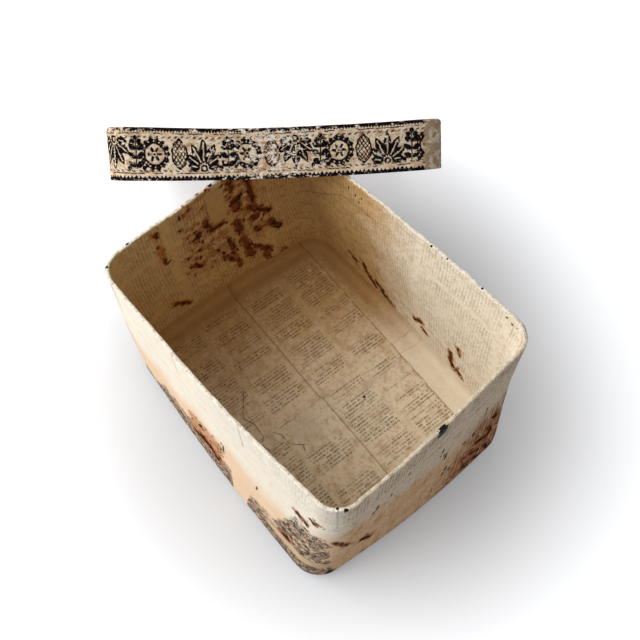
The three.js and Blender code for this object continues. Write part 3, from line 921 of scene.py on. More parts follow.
def outside_ground(paint, z, cloud, wide):
    """Cream paper in front, peach lower down. Round the right side, which is returned, it is
    grey above and tan below, and stained brown at the far end."""
    u = paint.u
    low = (z.bent(wide, 60.0) - u.step(300.0, 340.0) * 34.0).step(128.0, 78.0)
    paint.base = paint.mix(low, (244, 235, 218), (234, 204, 170))
    paint.lay(cloud.step(0.48, 0.74) * 0.4, (226, 194, 158))
    front = paint.base
    # The right side's ground is greyer and a little darker than the front's: in part painted shade,
    # since that side faces away from the lamp.
    tan = (z.bent(wide, 50.0) + (u - 400.0) * 0.25).step(152.0, 112.0)
    paint.base = paint.mix(tan, (222, 204, 180), (218, 175, 132))
    pale = paint.noise(u / 10, z / 22, 91.0, 4.0, 0.65)
    grit = paint.noise(u / 2.6, z / 6.0, 93.0, 4.0, 0.7)
    paint.coats(
        (pale, 0.50, 0.62, 0.55, (224, 202, 172)),
        (pale, 0.48, 0.34, 0.6, (166, 130, 98)),
        (grit, 0.54, 0.66, 0.5, (132, 98, 72)),
        (grit, 0.44, 0.34, 0.5, (228, 212, 188)),
    )
    far = (u.bent(wide, 80.0) - z * 0.25).step(478.0, 545.0)
    far = far * z.bent(cloud, 60.0).step(140.0, 90.0)
    streaks = paint.noise(u / 3.4, z / 22, 92.0, 4.0, 0.65)
    paint.lay(far * streaks.step(0.34, 0.50) * 0.85, (164, 104, 60))
    paint.lay(far * streaks.step(0.52, 0.58) * 0.85, (96, 52, 28))
    side = u.bent(cloud, 30.0).step(338.0, 364.0) * u.step(660.0, 620.0)
    paint.base = paint.mix(side, front, paint.base)
    return side


# Pages

BROWN = (206, 169, 115)
TAR = (13, 13, 16)
PAGE_HURT_LINE = (((850, 44), (900, 46), (935, 76), (985, 109)),)
# Small black splashes of tar on the pages: length along the rim, distance from its crest
# (outwards below 0), and how far they reach both ways
TAR_SPOTS = (
    (1217, -1, 2.4, 2.4), (1101, 0, 3.2, 3.0), (476, -7, 7.2, 12.0), (760, 3, 1.5, 1.5),
    (737, 2, 1.1, 1.1), (687, 1, 1.4, 1.4), (648, 12, 1.4, 2.2), (640, 17, 1.3, 1.8),
    (632, 14, 1.1, 2.6), (1024, -20, 1.5, 2.0), (437, -58, 1.5, 6.0), (1181, 18, 1.8, 2.4),
    (1143, 22, 1.2, 1.6), (1256, -5, 3.0, 7.0), (624, -2, 12.0, 1.7), (352, -2, 2.4, 3.0),
    (344, 3, 1.6, 2.4), (889, 20, 0.9, 2.6), (878, 25, 0.9, 3.0), (868, 22, 0.8, 2.4),
    (872, 33, 0.8, 2.0),
)


def page_print(paint, wide, side, ink_share):
    """Type in blocks that run on over the rim, where it is paler but for the right side."""
    u, v = paint.u, paint.v
    rows = printed_rows(paint, u + wide * 5.0, v + 44.0, 0.45)
    down = (v + 44.0 + wide * 6.0).modulo(110.0)
    over = (u + wide * 9.0).modulo(131.0)
    rows = rows * down.inside(1.0, 101.0) * over.step(0.5, 2.0) * over.step(122.0, 120.0)
    strength = paint.ripples(34, 42, 6).step(0.30, 0.64) * 0.5 + 0.3
    outwards = (u.step(170.0, 330.0) * 0.26 + side * 0.42 + 0.12) * v.step(-1.0, -4.0)
    shown = v.step(3.0, 7.0) * ink_share + outwards
    paint.lay(rows * strength * shown, (66, 54, 40))


def rim_nicks_and_highlights(paint):
    rim = paint.v.inside(-3.0, 5.0, 1.5)
    crest_specks = paint.ripples(3.4, 2.6, 15, 3.0, 0.7)
    # Brown nicks along the crest, then pale flecks on it that are partly worn paper and partly a
    # painted highlight of the crest.
    paint.lay(crest_specks.step(0.56, 0.64) * rim * 0.6, (140, 110, 78))
    paint.lay(crest_specks.step(0.46, 0.38) * rim * 0.6, (252, 246, 232))


def hurt_place(paint, hurt, cloud, wide, chance):
    """A stained and flaking place, with a whole patch and a whole strip in it, and a bent
    line. Returns the chance of flakes."""
    u, v = paint.u, paint.v
    first, last, top, bottom, share = hurt
    zone = u.bent(wide, 30.0).inside(first, last, 12.0)
    zone = zone * v.bent(cloud, 40.0).inside(top, bottom, 12.0) * share
    chance = chance + zone * (cloud.step(0.40, 0.64) * 0.75)
    paint.lay(zone * cloud.step(0.36, 0.6) * 0.5, (150, 84, 44))
    patch = u.bent(cloud, 5.0).inside(1086.0, 1111.0, 0.8)
    patch = patch * v.bent(cloud, 9.0).inside(9.0, 76.0, 0.8)
    strip = u.bent(cloud, 4.0).inside(1079.0, 1090.0, 0.8) * v.inside(76.0, 190.0, 1.0)
    whole = patch.max(strip)
    paint.lay(whole * 0.85, (190, 152, 98))
    edge = from_lines(u.bent(cloud, 5.0), v, PAGE_HURT_LINE)
    paint.lay(edge.step(1.8, 0.3) * 0.4, (96, 62, 30))
    return chance * (whole * -0.9 + 1.0)


def page_paint(name, light, browned, ink_share, seed, hurt=None):
    """Book paper gone brown, printed with rows that run across the rim. browned gives the
    places along the rim between which the paper turns from light to brown, and hurt the
    bounds of a stained and flaking place, along the rim and below its crest, and how badly."""
    paint = Paint(name, seed)
    u, v = paint.u, paint.v
    wide = paint.ripples(60, 60, 0)
    cloud = paint.ripples(12, 12, 1, 4.0, 0.6)
    fibre = paint.ripples(0.8, 2.4, 2, 2.0, 0.7)
    creased = paint.ripples(5, 6, 3, 4.0, 0.66)
    share = u.bent(wide, 120.0).step(*browned)
    stained = paint.mix(share, shaded(light, 0.86, 0.78, 0.66), shaded(BROWN, 0.80, 0.70, 0.54))
    crease_painted_light = paint.mix(share, shaded(light, 1.05), shaded(BROWN, 1.14))
    paint.base = paint.mix(share, light, BROWN)
    # The cloud coat is stains. The two creased coats are painted shade and painted light of the
    # crumpled paper: the stained colour darkens its creases and the paler colour lightens them.
    paint.coats(
        (cloud, 0.46, 0.70, 0.5, stained),
        (creased, 0.50, 0.66, 0.40, stained),
        (creased, 0.50, 0.32, 0.40, crease_painted_light),
    )
    inner = paint.base
    side = outside_ground(paint, v + BASKET_HEIGHT, cloud, wide)
    worn = paint.ripples(5, 3, 4, 3.0) * 7.0 - 3.5
    paint.lay((v + worn).step(1.6, 4.0), inner)
    page_print(paint, wide, side, ink_share)
    rim_nicks_and_highlights(paint)
    chance = (cloud - 0.62).max(0.0)
    if hurt:
        chance = hurt_place(paint, hurt, cloud, wide, chance)
    torn = paint.mix(share, (186, 118, 56), (146, 80, 38))
    flake = damage(paint, chance * 0.5, torn, (38, 18, 10))
    paint.lay(paint.ripples(2.2, 2.2, 12).step(0.74, 0.77) * 0.8, (52, 36, 24))
    blot = paint.ripples(2.2, 2.2, 13) * 1.2 - 0.6
    tar = (spots(u, v, TAR_SPOTS) + blot).step(0.12, -0.08)
    paint.lay(tar, TAR)
    ribs = (u * (2 * math.pi / TYPE_PITCH)).cos() * (v.step(2.0, -2.0) * 0.05 + 0.02)
    relief = fibre * 0.06 + cloud * 0.5 + creased * 0.8 + wide * 0.5 + ribs + tar * 0.5
    return paint.finished(relief + flake * 0.25, tar * -0.2 + 0.86)


# Cracks in the paper of the floor, and where its print stands: bands across the basket, each
# with its blocks of rows along it
CRACKS = (
    ((-57, -72), (-47, -80), (-38, -87), (-28, -93)),
    ((-28, -93), (-12, -87), (7, -88), (12, -93), (18, -95), (25, -92), (30, -98)),
    ((10, -75), (17, -69), (35, -68), (42, -60), (48, -52)),
    ((46, -56), (53, -58)),
)
WRINKLES = (
    ((-115, -52), (-103, -55), (-95, -52), (-87, -56)),
    ((-72, -56), (-60, -58), (-50, -56)),
    ((35, -10), (42, -15), (52, -18)),
    ((110, -65), (122, -73)),
    ((10, -75), (11, -40)),
)
FLOOR_PRINT = {
    (72, 118): (
        (-165, -137), (-134, -120), (-117, -100), (-90, -77), (-66, -49), (-24, -2), (18, 33),
        (51, 55), (72, 78), (85, 98), (102, 133),
    ),
    (8, 60): (
        (-158, -140), (-135, -106), (-100, -80), (-72, -36), (-25, -6), (14, 28), (34, 55),
        (57, 97), (108, 133),
    ),
    (-62, -8): (
        (-168, -158), (-145, -126), (-117, -105), (-97, -82), (-62, -36), (-30, -8), (60, 92),
        (117, 150),
    ),
    (-118, -70): (
        (-165, -140), (-125, -102), (-90, -50), (-42, -38), (-24, -13), (25, 45), (50, 92),
        (97, 150),
    ),
}


def floor_print(paint):
    """Blocks of dotted rows. Some rows end short of their band."""
    u, v = paint.u, paint.v
    row = (u / TYPE_PITCH).floor()
    bands = []
    for (low, high), blocks in FLOOR_PRINT.items():
        across = most(
            (u - (first + last) / 2).abs().step((last - first) / 2 + 0.8, (last - first) / 2 - 0.8)
            for first, last in blocks
        )
        short = paint.white(row, low * 0.13).step(0.7, 1.0) * 22.0
        along = (v - short).step(low - 1.0, low + 1.0)
        bands.append(across * along * v.step(high + 1.0, high - 1.0))
    rows = printed_rows(paint, u, v, 0.85) * most(bands)
    strength = paint.ripples(26, 26, 6, 3.0).step(0.28, 0.6) * 0.4 + 0.4
    paint.lay(rows * strength, (66, 48, 30))


def floor_seams(paint, right, slant, cloud):
    """The pale foot of the back wall, the seams between the pages, and a rubbed patch."""
    u, v = paint.u, paint.v
    foot = (v - 122.0 + (u + 60.0) * 0.02).bent(cloud, 8.0)
    paint.lay(foot.step(0.0, 3.0) * u.step(-60.0, 60.0) * 0.75, (246, 234, 210))
    foot_line = foot.abs().step(2.0, 0.2) * cloud.step(0.30, 0.5)
    seam_u = (u - FLOOR_SEAM[0] - slant).abs().step(1.4, 0.2) * 0.4
    seam_v = (v - right * 2.4).bent(cloud, 2.0).abs().step(1.6, 0.3)
    paint.lay(foot_line.max(seam_u).max(seam_v) * 0.5, (112, 84, 54))
    rubbed = (length_of((u - 32) / 1.3, v + 38) - 17.0).bent(cloud, 26.0)
    paint.lay(rubbed.step(5.0, -5.0) * 0.35, (206, 190, 170))


def floor_paint(seed):
    """The floor's book pages: rows of dots in blocks, along the basket's short sides."""
    paint = Paint("page_paper_floor", seed)
    u, v = paint.u, paint.v
    wide = paint.ripples(60, 60, 0)
    cloud = paint.ripples(13, 13, 1, 4.0, 0.6)
    fibre = paint.ripples(0.9, 2.0, 2, 2.0, 0.7)
    creased = paint.ripples(5, 5, 3, 3.0, 0.6)
    share = (u * -0.9 + v * 0.25).bent(wide, 90.0).step(-60.0, 150.0)
    paint.base = paint.mix(share, (242, 227, 199), (206, 168, 112))
    slant = (v * 0.12).max(0.0)
    right = (u.bent(cloud, 2.0) - slant).step(9.5, 10.5)
    paint.lay(right * 0.4, (226, 212, 188))
    # The two creased coats are painted shade and painted light of the crumpled paper; the cloud
    # coats are mottled tone.
    paint.coats(
        (creased, 0.5, 0.68, 0.34, (166, 134, 92)),
        (creased, 0.48, 0.32, 0.30, (244, 230, 202)),
        (cloud, 0.44, 0.68, 0.5, (186, 152, 106)),
        (cloud, 0.46, 0.26, 0.4, (236, 218, 186)),
    )
    near_wall = (u.abs() - 160.0).max(v.abs() - 122.0)
    paint.lay(near_wall.step(0.0, 20.0) * share * 0.75, (178, 134, 80))
    floor_print(paint)
    floor_seams(paint, right, slant, cloud)
    bent_u, bent_v = u.bent(cloud, 7.0), v.bent(fibre, 1.2)
    wrinkles, cracks = (from_lines(bent_u, bent_v, lines) for lines in (WRINKLES, CRACKS))
    paint.lay(wrinkles.step(1.2, 0.2) * cloud.step(0.35, 0.5) * 0.35, (96, 72, 46))
    paint.lay(cracks.step(0.9, 0.2) * creased.step(0.30, 0.5) * 0.75, (72, 50, 32))
    wax = (length_of(u - 43, v - 45) - 1.6).bent(cloud, 2.0)
    paint.lay(wax.step(0.5, -0.3), (72, 22, 16))
    paint.lay(paint.ripples(2.4, 2.4, 12).step(0.72, 0.75) * 0.7, (92, 64, 40))
    relief = fibre * 0.06 + creased * 0.8 + cloud * 0.6 + wide * 0.5
    return paint.finished(relief + cracks.min(wrinkles).step(2.0, 0.0) * 0.5)


# Covers. Dark spots on them: length along the rim, height, and how far they reach both ways

COVER_SPOTS = (
    (492, 139, 2.0, 5.0), (490, 129, 1.3, 3.0), (500, 115, 2.4, 7.0), (496, 123, 1.5, 3.0),
    (508, 78, 2.8, 4.0), (504, 70, 2.2, 4.0), (515, 68, 1.1, 5.0), (396, 146, 2.0, 8.0),
    (392, 138, 3.0, 3.0), (415, 148, 1.5, 5.0), (564, 134, 1.6, 5.0), (492, 46, 1.2, 5.0),
    (238, 91, 1.8, 4.5), (178, 94, 1.6, 10.0), (174, 102, 1.4, 3.0), (398, 17, 3.0, 2.5),
)
CORNER_TAR = ((355, 9, 4.4, 9.0), (356, 18, 3.2, 6.0))


def cover_print(paint, z, cloud, wide):
    """What is left of the block print, below a ragged level that changes along the rim."""
    u = paint.u
    level = u.step(20.0, 60.0) * 36.0 + u.step(268.0, 300.0) * 60.0
    level = level - u.bent(cloud, 40.0).step(338.0, 352.0) * 62.0 + 24.0
    level = level - (u - 213.0).abs().step(20.0, 10.0) * 66.0 - u.step(347.0, 372.0) * 60.0
    level = level + u.step(640.0, 680.0) * 130.0 - u.step(1190.0, 1270.0) * 100.0
    edge = (z - level).bent(cloud, 50.0)
    printed = edge.step(8.0, -12.0)
    drawn = frieze(u.bent(cloud, 6.0), (z + 34.0).bent(cloud, 6.0).modulo(42.0) + 10.0)
    veins = (paint.ripples(10, 9, 24) * 56.0).sin().beyond()
    ground = paint.ripples(12, 10, 22, 3.0, 0.6).step(0.42, 0.46) * veins
    loss = paint.ripples(6, 5, 23, 4.0, 0.68).step(0.62, 0.48)
    clump = paint.ripples(20, 13, 25, 3.0, 0.6)
    stripe = (z - 43.0).bent(wide, 8.0).bent(cloud, 5.0).abs().step(7.5, 5.0)
    stripe = stripe * u.inside(262.0, 420.0, 8.0)
    shown = edge.step(5.0, -8.0) * loss * (stripe * -0.9 + 1.0)
    paint.lay(printed * 0.5, (184, 152, 124))
    grey = printed * clump.step(0.46, 0.58) * (stripe * -1.0 + 1.0)
    paint.lay(grey * 0.5, (104, 84, 74))
    paint.lay(printed * clump.step(0.42, 0.32) * 0.5, (232, 206, 178))
    paint.lay(drawn.max(ground) * shown * 0.92, (42, 34, 36))


def cover_paint(name, seed, first_z):
    """Wall paper once block printed in grey and black, and worn off but for its lower part.
    first_z is the height at which the sheet's own millimetres start."""
    paint = Paint(name, seed)
    u, z = paint.u, paint.v + first_z
    paint.up = z
    wide = paint.ripples(50, 40, 0)
    cloud = paint.ripples(12, 12, 1, 4.0, 0.62)
    fibre = paint.ripples(2.6, 0.9, 2, 2.0, 0.7)
    side = outside_ground(paint, z, cloud, wide)
    cover_print(paint, z, cloud, wide)
    seam = (z - 76.0 - (wide - 0.5) * 6.0).abs().step(1.6, 0.5) * cloud.step(0.34, 0.46)
    paint.lay(seam * 0.3, (238, 220, 194))
    paint.lay(fibre.step(0.3, 0.8) * 0.10, (150, 124, 98))
    stripped = z.inside(42.0, 92.0, 9.0) * u.bent(cloud, 26.0).inside(112.0, 178.0, 5.0)
    paint.lay(stripped * fibre.step(0.2, 0.7), (198, 130, 82))
    chance = stripped * 0.35 + side * ((cloud - 0.58).max(0.0) * 0.9)
    far = (u - z * 0.2).step(500.0, 545.0) * u.step(650.0, 610.0) * z.step(135.0, 95.0)
    chance = chance + far * cloud.step(0.38, 0.62) * 0.3
    flake = damage(paint, chance, (150, 92, 54), (44, 26, 18))
    blot = paint.ripples(2.2, 2.6, 13) * 1.6 - 0.8
    paint.lay((spots(u, z, COVER_SPOTS) + blot).step(0.12, -0.05) * 0.9, (34, 26, 22))
    # A dark band along the foot of the wall, where it turns under to the floor: partly dirt, partly
    # painted shade.
    hem = (z - 9.0 - u.inside(296.0, 340.0, 12.0) * 4.0 + blot * 3.0).bent(wide, 9.0)
    paint.lay(hem.step(5.0, 0.0) * 0.85, paint.mix(side, (36, 30, 30), (88, 54, 38)))
    tar = (spots(u, z, CORNER_TAR) + blot * 0.5).step(0.12, -0.08)
    paint.lay(tar, TAR)
    return paint.finished(fibre * 0.07 + cloud * 0.35 + wide * 0.6 + flake * 0.3 + tar * 0.6)


# The printed frieze


def petal(x, y, angle, reach, length, width):
    """Distance from a pointed leaf that starts at reach from the middle, and points outwards."""
    along = x * math.cos(angle) + y * math.sin(angle) - (reach + length / 2)
    across = (y * math.cos(angle) - x * math.sin(angle)).abs()
    bulge = (length * length / 4 - width * width / 4) / width
    return length_of(along, across + bulge) - (bulge + width / 2)


def medallion(x, y):
    """Ink of a round rosette: a broad scalloped ring round an open flower."""
    scallops, dot_ring = 14, 13.6
    radius = length_of(x, y)
    around = y.math("ARCTAN2", x)
    ring = (radius - 16.6 - (around * scallops).cos() * 1.0).filled() * (radius - 10.4).beyond()
    turn = (around * (scallops / (2 * math.pi))).modulo(1.0) - 0.5
    dots = length_of(turn * (2 * math.pi / scallops * dot_ring), radius - dot_ring) - 0.8
    flower = (radius - 5.8 - (around * 6.0).cos() * 2.8).filled() * (radius - 2.6).beyond()
    return (ring * dots.step(-0.25, 0.25)).max(flower).max((radius - 1.5).filled())


def palmette(x, y):
    """Ink of a fan of leaves over a half round foot."""
    y = y + 15.0
    leaves, veins = [], []
    for number, long in enumerate((14.0, 20.0, 25.0, 28.0, 25.0, 20.0, 14.0), -3):
        angle = math.radians(90 - number * 27)
        leaves.append(petal(x, y, angle, 4.6, long, 9.4))
        across = (y * math.cos(angle) - x * math.sin(angle)).abs()
        ahead = x * math.cos(angle) + y * math.sin(angle)
        veins.append(across.max(8.5 - ahead).max(ahead - long))
    fan = least(leaves).filled() * least(veins).step(0.35, 0.85)
    radius = length_of(x, y)
    return fan.max((radius - 4.2).filled() * (radius - 1.8).beyond())


def lattice_leaf(x, y):
    """Ink of an upright pointed oval, filled with a lattice."""
    oval = petal(x, y, math.pi / 2, -17.0, 34.0, 19.0)
    rim = (oval + 0.9).abs().step(1.1, 0.7)
    lines = least(((x + y * slope).modulo(4.2) - 2.1).abs() for slope in (0.7, -0.7))
    return rim.max(lines.step(0.9, 0.5) * oval.step(-1.0, -1.5))


def branch(x, y):
    """Ink of an upright stem with pairs of leaves and berries."""
    side = x.abs()
    stem = (side - 0.7).step(0.3, -0.2) * y.abs().step(16.5, 15.5)
    leaves = least(
        petal(side, y - height, math.radians(38), 0.6, size, 6.4)
        for height, size in ((-14.0, 10.0), (-5.0, 11.0), (4.0, 10.0))
    )
    berries = (
        length_of(side - 3.8, y - 13.0) - 3.0,
        length_of(side - 8.4, y + 14.6) - 2.6,
        length_of(x, y - 17.0) - 2.6,
    )
    return stem.max(leaves.filled()).max(least(berries).filled())


FRIEZE_CELL = 104.0


def frieze(u, v):
    """A generic block printed frieze: rosettes, lattice leaves, fans of leaves and branches by
    turns. v runs from the open edge at 0 to the top at 57."""
    y = v - 31.0

    def beside(start):
        return (u - start + FRIEZE_CELL / 2).modulo(FRIEZE_CELL) - FRIEZE_CELL / 2

    turned = (u / FRIEZE_CELL).floor().modulo(2.0) * 2.0 - 1.0
    ticks = petal(u.modulo(7.0) - 3.5, y.abs() - 17.6, math.radians(25), -2.6, 5.2, 1.9)
    return most((
        medallion(beside(0.0), y),
        lattice_leaf(beside(28.0), y),
        palmette(beside(55.0), y * turned),
        branch(beside(83.0), y),
        ticks.filled() * 0.9,
    ))


def saw_edge(along, height, pitch, tall):
    """Ink of a row of triangles that stand on height 0."""
    tooth = (along.modulo(pitch) - pitch / 2).abs()
    return (tall - tooth * (2 * tall / pitch) - height).step(-0.2, 0.3)


def lid_ink(paint, wide):
    """The frieze between its ruled lines and saw-tooth borders."""
    u, v = paint.u, paint.v
    wander_u = u.bent(paint.ripples(5, 5, 3, 1.0), 3.0)
    wander_v = v.bent(paint.ripples(5, 5, 4, 1.0), 2.6).bent(wide, 3.0)
    inside = wander_v.inside(12.0, 52.0)
    low_teeth = saw_edge(wander_u, wander_v - 5.6, 4.8, 3.0) * v.step(0.6, 1.2)
    high_teeth = saw_edge(wander_u + 1.2, 55.6 - wander_v, 3.4, 2.0) * v.step(61.0, 60.0)
    ink = most((frieze(wander_u + 50.0, wander_v) * inside, low_teeth, high_teeth))
    for height in (10.8, 52.8):
        ruled = (wander_v - height).abs().step(0.8, 0.4)
        ink = ink.max(ruled * paint.noise(u / 14, height * 3.0, 61.0).step(0.40, 0.46))
    crumbs = paint.ripples(1.9, 1.9, 11).step(0.58, 0.62)
    crumbs = crumbs * paint.ripples(8, 8, 12).step(0.42, 0.56)
    return ink.max(crumbs * 0.75 * inside)


def lid_paint():
    """The lid's band: tan paper printed black, with saw-tooth borders, and badly worn."""
    paint = Paint("print_paper_lid", 51.0, specular=0.0)
    u, v = paint.u, paint.v
    wide = paint.ripples(50, 40, 0)
    cloud = paint.ripples(10, 8, 1, 4.0, 0.62)
    fibre = paint.ripples(2.4, 0.8, 2, 2.0, 0.7)
    paint.base = paint.mix(wide.step(0.3, 0.7), (218, 196, 166), (232, 214, 190))
    paint.lay(cloud.step(0.44, 0.62) * 0.7, (190, 152, 114))
    middle = (u - 808.0).abs().step(75.0, 10.0)
    brown = (paint.ripples(15, 9, 8, 5.0, 0.66) + middle * 0.05).step(0.56, 0.62)
    paint.lay(brown * 0.7, (178, 124, 88))
    ink = lid_ink(paint, wide)
    grain = paint.ripples(0.9, 0.9, 5).step(0.24, 0.34)
    edge_loss = v.step(52.0, 56.0) * (u.step(654.0, 640.0) + 0.3) + v.step(4.0, 2.0) * 0.4
    worn = paint.ripples(5.5, 4.5, 6, 5.0, 0.72) + middle * 0.03 + edge_loss * 0.12
    paint.lay(ink * grain * worn.step(0.66, 0.62), (17, 13, 18))
    white = paint.ripples(8, 5.5, 9, 5.0, 0.7) + middle * 0.07 + edge_loss * 0.03
    white = white.step(0.585, 0.62)
    paint.lay(white * 0.9, (238, 226, 210))
    bare = u.bent(cloud, 26.0).step(984.0, 985.0) * u.step(1016.0, 1014.0)
    patch = paint.mix(cloud.step(0.42, 0.52), (230, 215, 192), (184, 156, 122))
    paint.lay(bare * 0.9, patch)
    hem = (v - 0.4).abs().step(1.3, 0.4) * cloud.step(0.42, 0.52)
    paint.lay(hem * 0.75, (222, 204, 180))
    peeled = white.max(brown)
    return paint.finished(fibre * 0.08 + cloud * 0.35 + wide * 0.5 + peeled * -0.35 + ink * 0.05)


def top_paint():
    """The lid's top: the same frieze in rows, as the paper was cut from one printed length."""
    paint = Paint("print_paper_top", 71.0)
    u, v = paint.u, paint.v
    cloud = paint.ripples(11, 11, 0, 4.0, 0.6)
    wide = paint.ripples(60, 60, 1, 3.0)
    paint.base = paint.mix(wide.step(0.3, 0.7), (206, 182, 148), (226, 206, 178))
    paint.lay(cloud.step(0.5, 0.74) * 0.5, (190, 150, 112))
    row = ((v + 150.0) / 46.0).floor()
    ink = frieze(u + 17.0 + row * 48.0, (v + 150.0).modulo(46.0) + 8.0)
    worn = paint.ripples(5, 5, 2, 4.0, 0.65).step(0.62, 0.54)
    rubbed = paint.ripples(30, 30, 3).step(0.34, 0.48)
    paint.lay(ink * worn * rubbed * 0.9, (36, 32, 34))
    return paint.finished(cloud * 0.4 + wide * 0.6)


def plain_paint():
    """Plain unprinted paper with stains and rubbed places."""
    paint = Paint("plain_paper_base", 281.0)
    tone = (199, 173, 133)
    wide = paint.ripples(60, 60, 0, 3.0)
    cloud = paint.ripples(11, 11, 1, 4.0, 0.6)
    fibre = paint.ripples(0.9, 2.2, 2, 2.0, 0.7)
    paint.base = paint.mix(wide.step(0.3, 0.7), shaded(tone, 0.82), tone)
    paint.lay(cloud.step(0.5, 0.74) * 0.6, shaded(tone, 0.6))
    paint.lay(fibre.step(0.3, 0.8) * 0.15, shaded(tone, 0.7))
    return paint.finished(fibre * 0.12 + cloud * 0.6 + wide * 0.9)


def wood_paint(name, dark, light, pore):
    """Splint wood: grain runs along the strip, each strip in its own shade."""
    paint = Paint(name, roughness=0.8, specular=0.08)
    u, v = paint.u, paint.v
    strip = (v / STRIP_STEP).floor()
    shade = paint.white(strip, 3.0)
    grain = paint.noise(u / 26, v * 2.2, strip * 3.1, 3.0, 0.6)
    pores = paint.noise(u / 5, v * 6.0, strip * 1.7)
    paint.base = paint.mix((grain * 0.75 + shade * 0.35).step(0.25, 0.85), dark, light)
    paint.lay(pores.step(0.55, 0.75) * 0.6, pore)
    return paint.finished(grain * 0.15 + pores * -0.12)


# Looks: a material and the slot it stands for

SPLINT = wood_paint("splint_wood_detail", (56, 26, 12), (150, 86, 42), (30, 13, 7)), "splint"
HOOP = wood_paint("hoop_wood_detail", (80, 48, 28), (128, 84, 52), (50, 28, 16)), "hoop"
LEFT_PAGE, BACK_PAGE, PAGE, LID_PAGE = (
    (page_paint(f"page_paper_{name}", *settings), "page_paper")
    for name, *settings in (
        ("left", (208, 172, 118), (1240.0, 1080.0), 0.55, 101.0, (1030.0, 1150.0, 0.0, 150.0, 1.0)),
        ("back", (250, 240, 220), (755.0, 885.0), 0.4, 131.0, (700.0, 900.0, 165.0, 198.0, 0.1)),
        ("sides", (240, 226, 200), (560.0, 60.0), 0.6, 161.0),
        ("lid", (206, 184, 148), (-900.0, 1600.0), 0.6, 261.0),
    )
)
FLOOR_PAGE = floor_paint(181.0), "page_paper"
UPPER_COVER = cover_paint("print_paper_upper", 201.0, COVER_SEAM_Z), "print_paper"
COVER_START = BOTTOM_RADIUS * (1 - math.pi / 2) - UNDER_LAP
LOWER_COVER = cover_paint("print_paper_lower", 231.0, COVER_START), "print_paper"
LID_BAND = lid_paint(), "print_paper"
LID_TOP = top_paint(), "print_paper"
PLAIN = plain_paint(), "plain_paper"


# Putting the basket together


def build_basket():
    inner_x, inner_y = (BASE[key] / 2 - BOTTOM_RADIUS + 3 for key in ("length", "width"))
    walls = woven_wall(place_on_basket, RIM_MARKS, 13.0, BASKET_HEIGHT - SPLINT_FACE)
    floor = woven_flat(on_basket_floor, inner_x, inner_y, 27.0, MID_SPLINT)
    add_core("splint_core", walls + floor, SPLINT)
    loop = hoop_loop(BASKET_HEIGHT - SPLINT_FACE - HOOP_HEIGHT)
    add_ring("rim_hoop", place_on_basket, RIM_MARKS, loop, HOOP)

    floor_page(1, (LEFT, FRONT), False, True, FLOOR_PAGE)
    floor_page(2, (BACK, LEFT), False, False, FLOOR_PAGE)
    floor_page(3, (FRONT, RIGHT), True, True, FLOOR_PAGE)
    floor_page(4, (RIGHT, BACK), True, False, FLOOR_PAGE)

    line = page_line()
    crest = crest_of(line)
    number = 0
    for side, look in enumerate((PAGE, PAGE, BACK_PAGE, LEFT_PAGE)):
        start, count = 2 * side - 0.5, PAGES_PER_SIDE[side]
        between = [2 * side + i / count for i in range(1, count)]
        spacing = FINE if side in (BACK, LEFT) else COARSE
        for first, last in pairwise([start, *between, start + 2]):
            number += 1
            node = f"wall_page_{number}"
            wall_sheet(node, line, crest, first, last, spacing, INNER_TEARS, look, number)

    upper_line = [(0, COVER_SEAM_Z)] + cover_lap(SHOULDER_Z)
    courses = (("upper", upper_line, UPPER_COVER), ("lower", lower_cover_line(), LOWER_COVER))
    sides = (
        ("front", -0.5, 2, FINE), ("right", 2, 3.5, FINE),
        ("back", 3.5, 5.5, COARSE), ("left", 5.5, 7.5, COARSE),
    )
    for course, line, look in courses:
        for name, first, last, spacing in sides:
            node = f"cover_{course}_{name}"
            wall_sheet(node, line, 0.0, first, last, spacing, OUTER_TEARS, look, first + 40)
    base_sheet(PLAIN)


def build_lid():
    inner_x, inner_y = (LID[key] / 2 - 4 for key in ("length", "width"))
    walls = woven_wall(place_on_lid, LID_MARKS, SPLINT_FACE, LID_DEPTH - 4)
    flat = woven_flat(on_lid_top, inner_x, inner_y, LID["radius"] - 4, LID_DEPTH - MID_SPLINT)
    add_core("lid_core", walls + flat, SPLINT)
    add_ring("lid_hoop", place_on_lid, LID_MARKS, hoop_loop(SPLINT_FACE), HOOP)

    line = lid_band_line()
    crest = crest_of([(offset, -z) for offset, z in line])
    centre = LID_DEPTH - LID_EDGE_RADIUS
    lining = [(-WALL, centre - LID_TURN_DOWN), (-WALL, RAMP_END + 2 * GAP)]
    for number, name in enumerate(("lower", "right", "upper", "left")):
        ends = 2 * number - 0.5, 2 * number + 1.5
        spacing = LID_FRONT_SPACING if name == "upper" else COARSE
        lid_sheet(f"lid_band_{name}", line, crest, *ends, spacing, LID_BAND)
        lid_sheet(f"lid_wall_page_{name}", lining, -60.0, *ends, COARSE, LID_PAGE)
    turn = arc(-LID_EDGE_RADIUS, centre, LID_EDGE_RADIUS - WALL, 90, 0)
    inside = turn + [(-WALL, centre - LID_TURN_DOWN + 1)]
    lid_fan("lid_top_page_left", inside, 4.5, 8.5, LID_DEPTH - WALL, LID_PAGE)
    lid_fan("lid_top_page_right", inside, 0.5, 4.5, LID_DEPTH - WALL, LID_PAGE)
    over = [(-LID_EDGE_RADIUS - LID_TOP_LAP, LID_DEPTH)]
    lid_fan("lid_top_sheet", over, 0, 8, LID_DEPTH, LID_TOP, flip=True)


# Camera, light and floor

CAMERA = {
    "azimuth": 47.87,
    "elevation": 61.12,
    "roll": -0.57,
    "distance": 987.39,
    "target": (-35.22, 40.34, 100.0),
    "lens": 45.94,
}
TOWARDS_LAMP = Vector((-0.54, -0.58, 0.61)).normalized()
FLOOR_HALF = 6.0


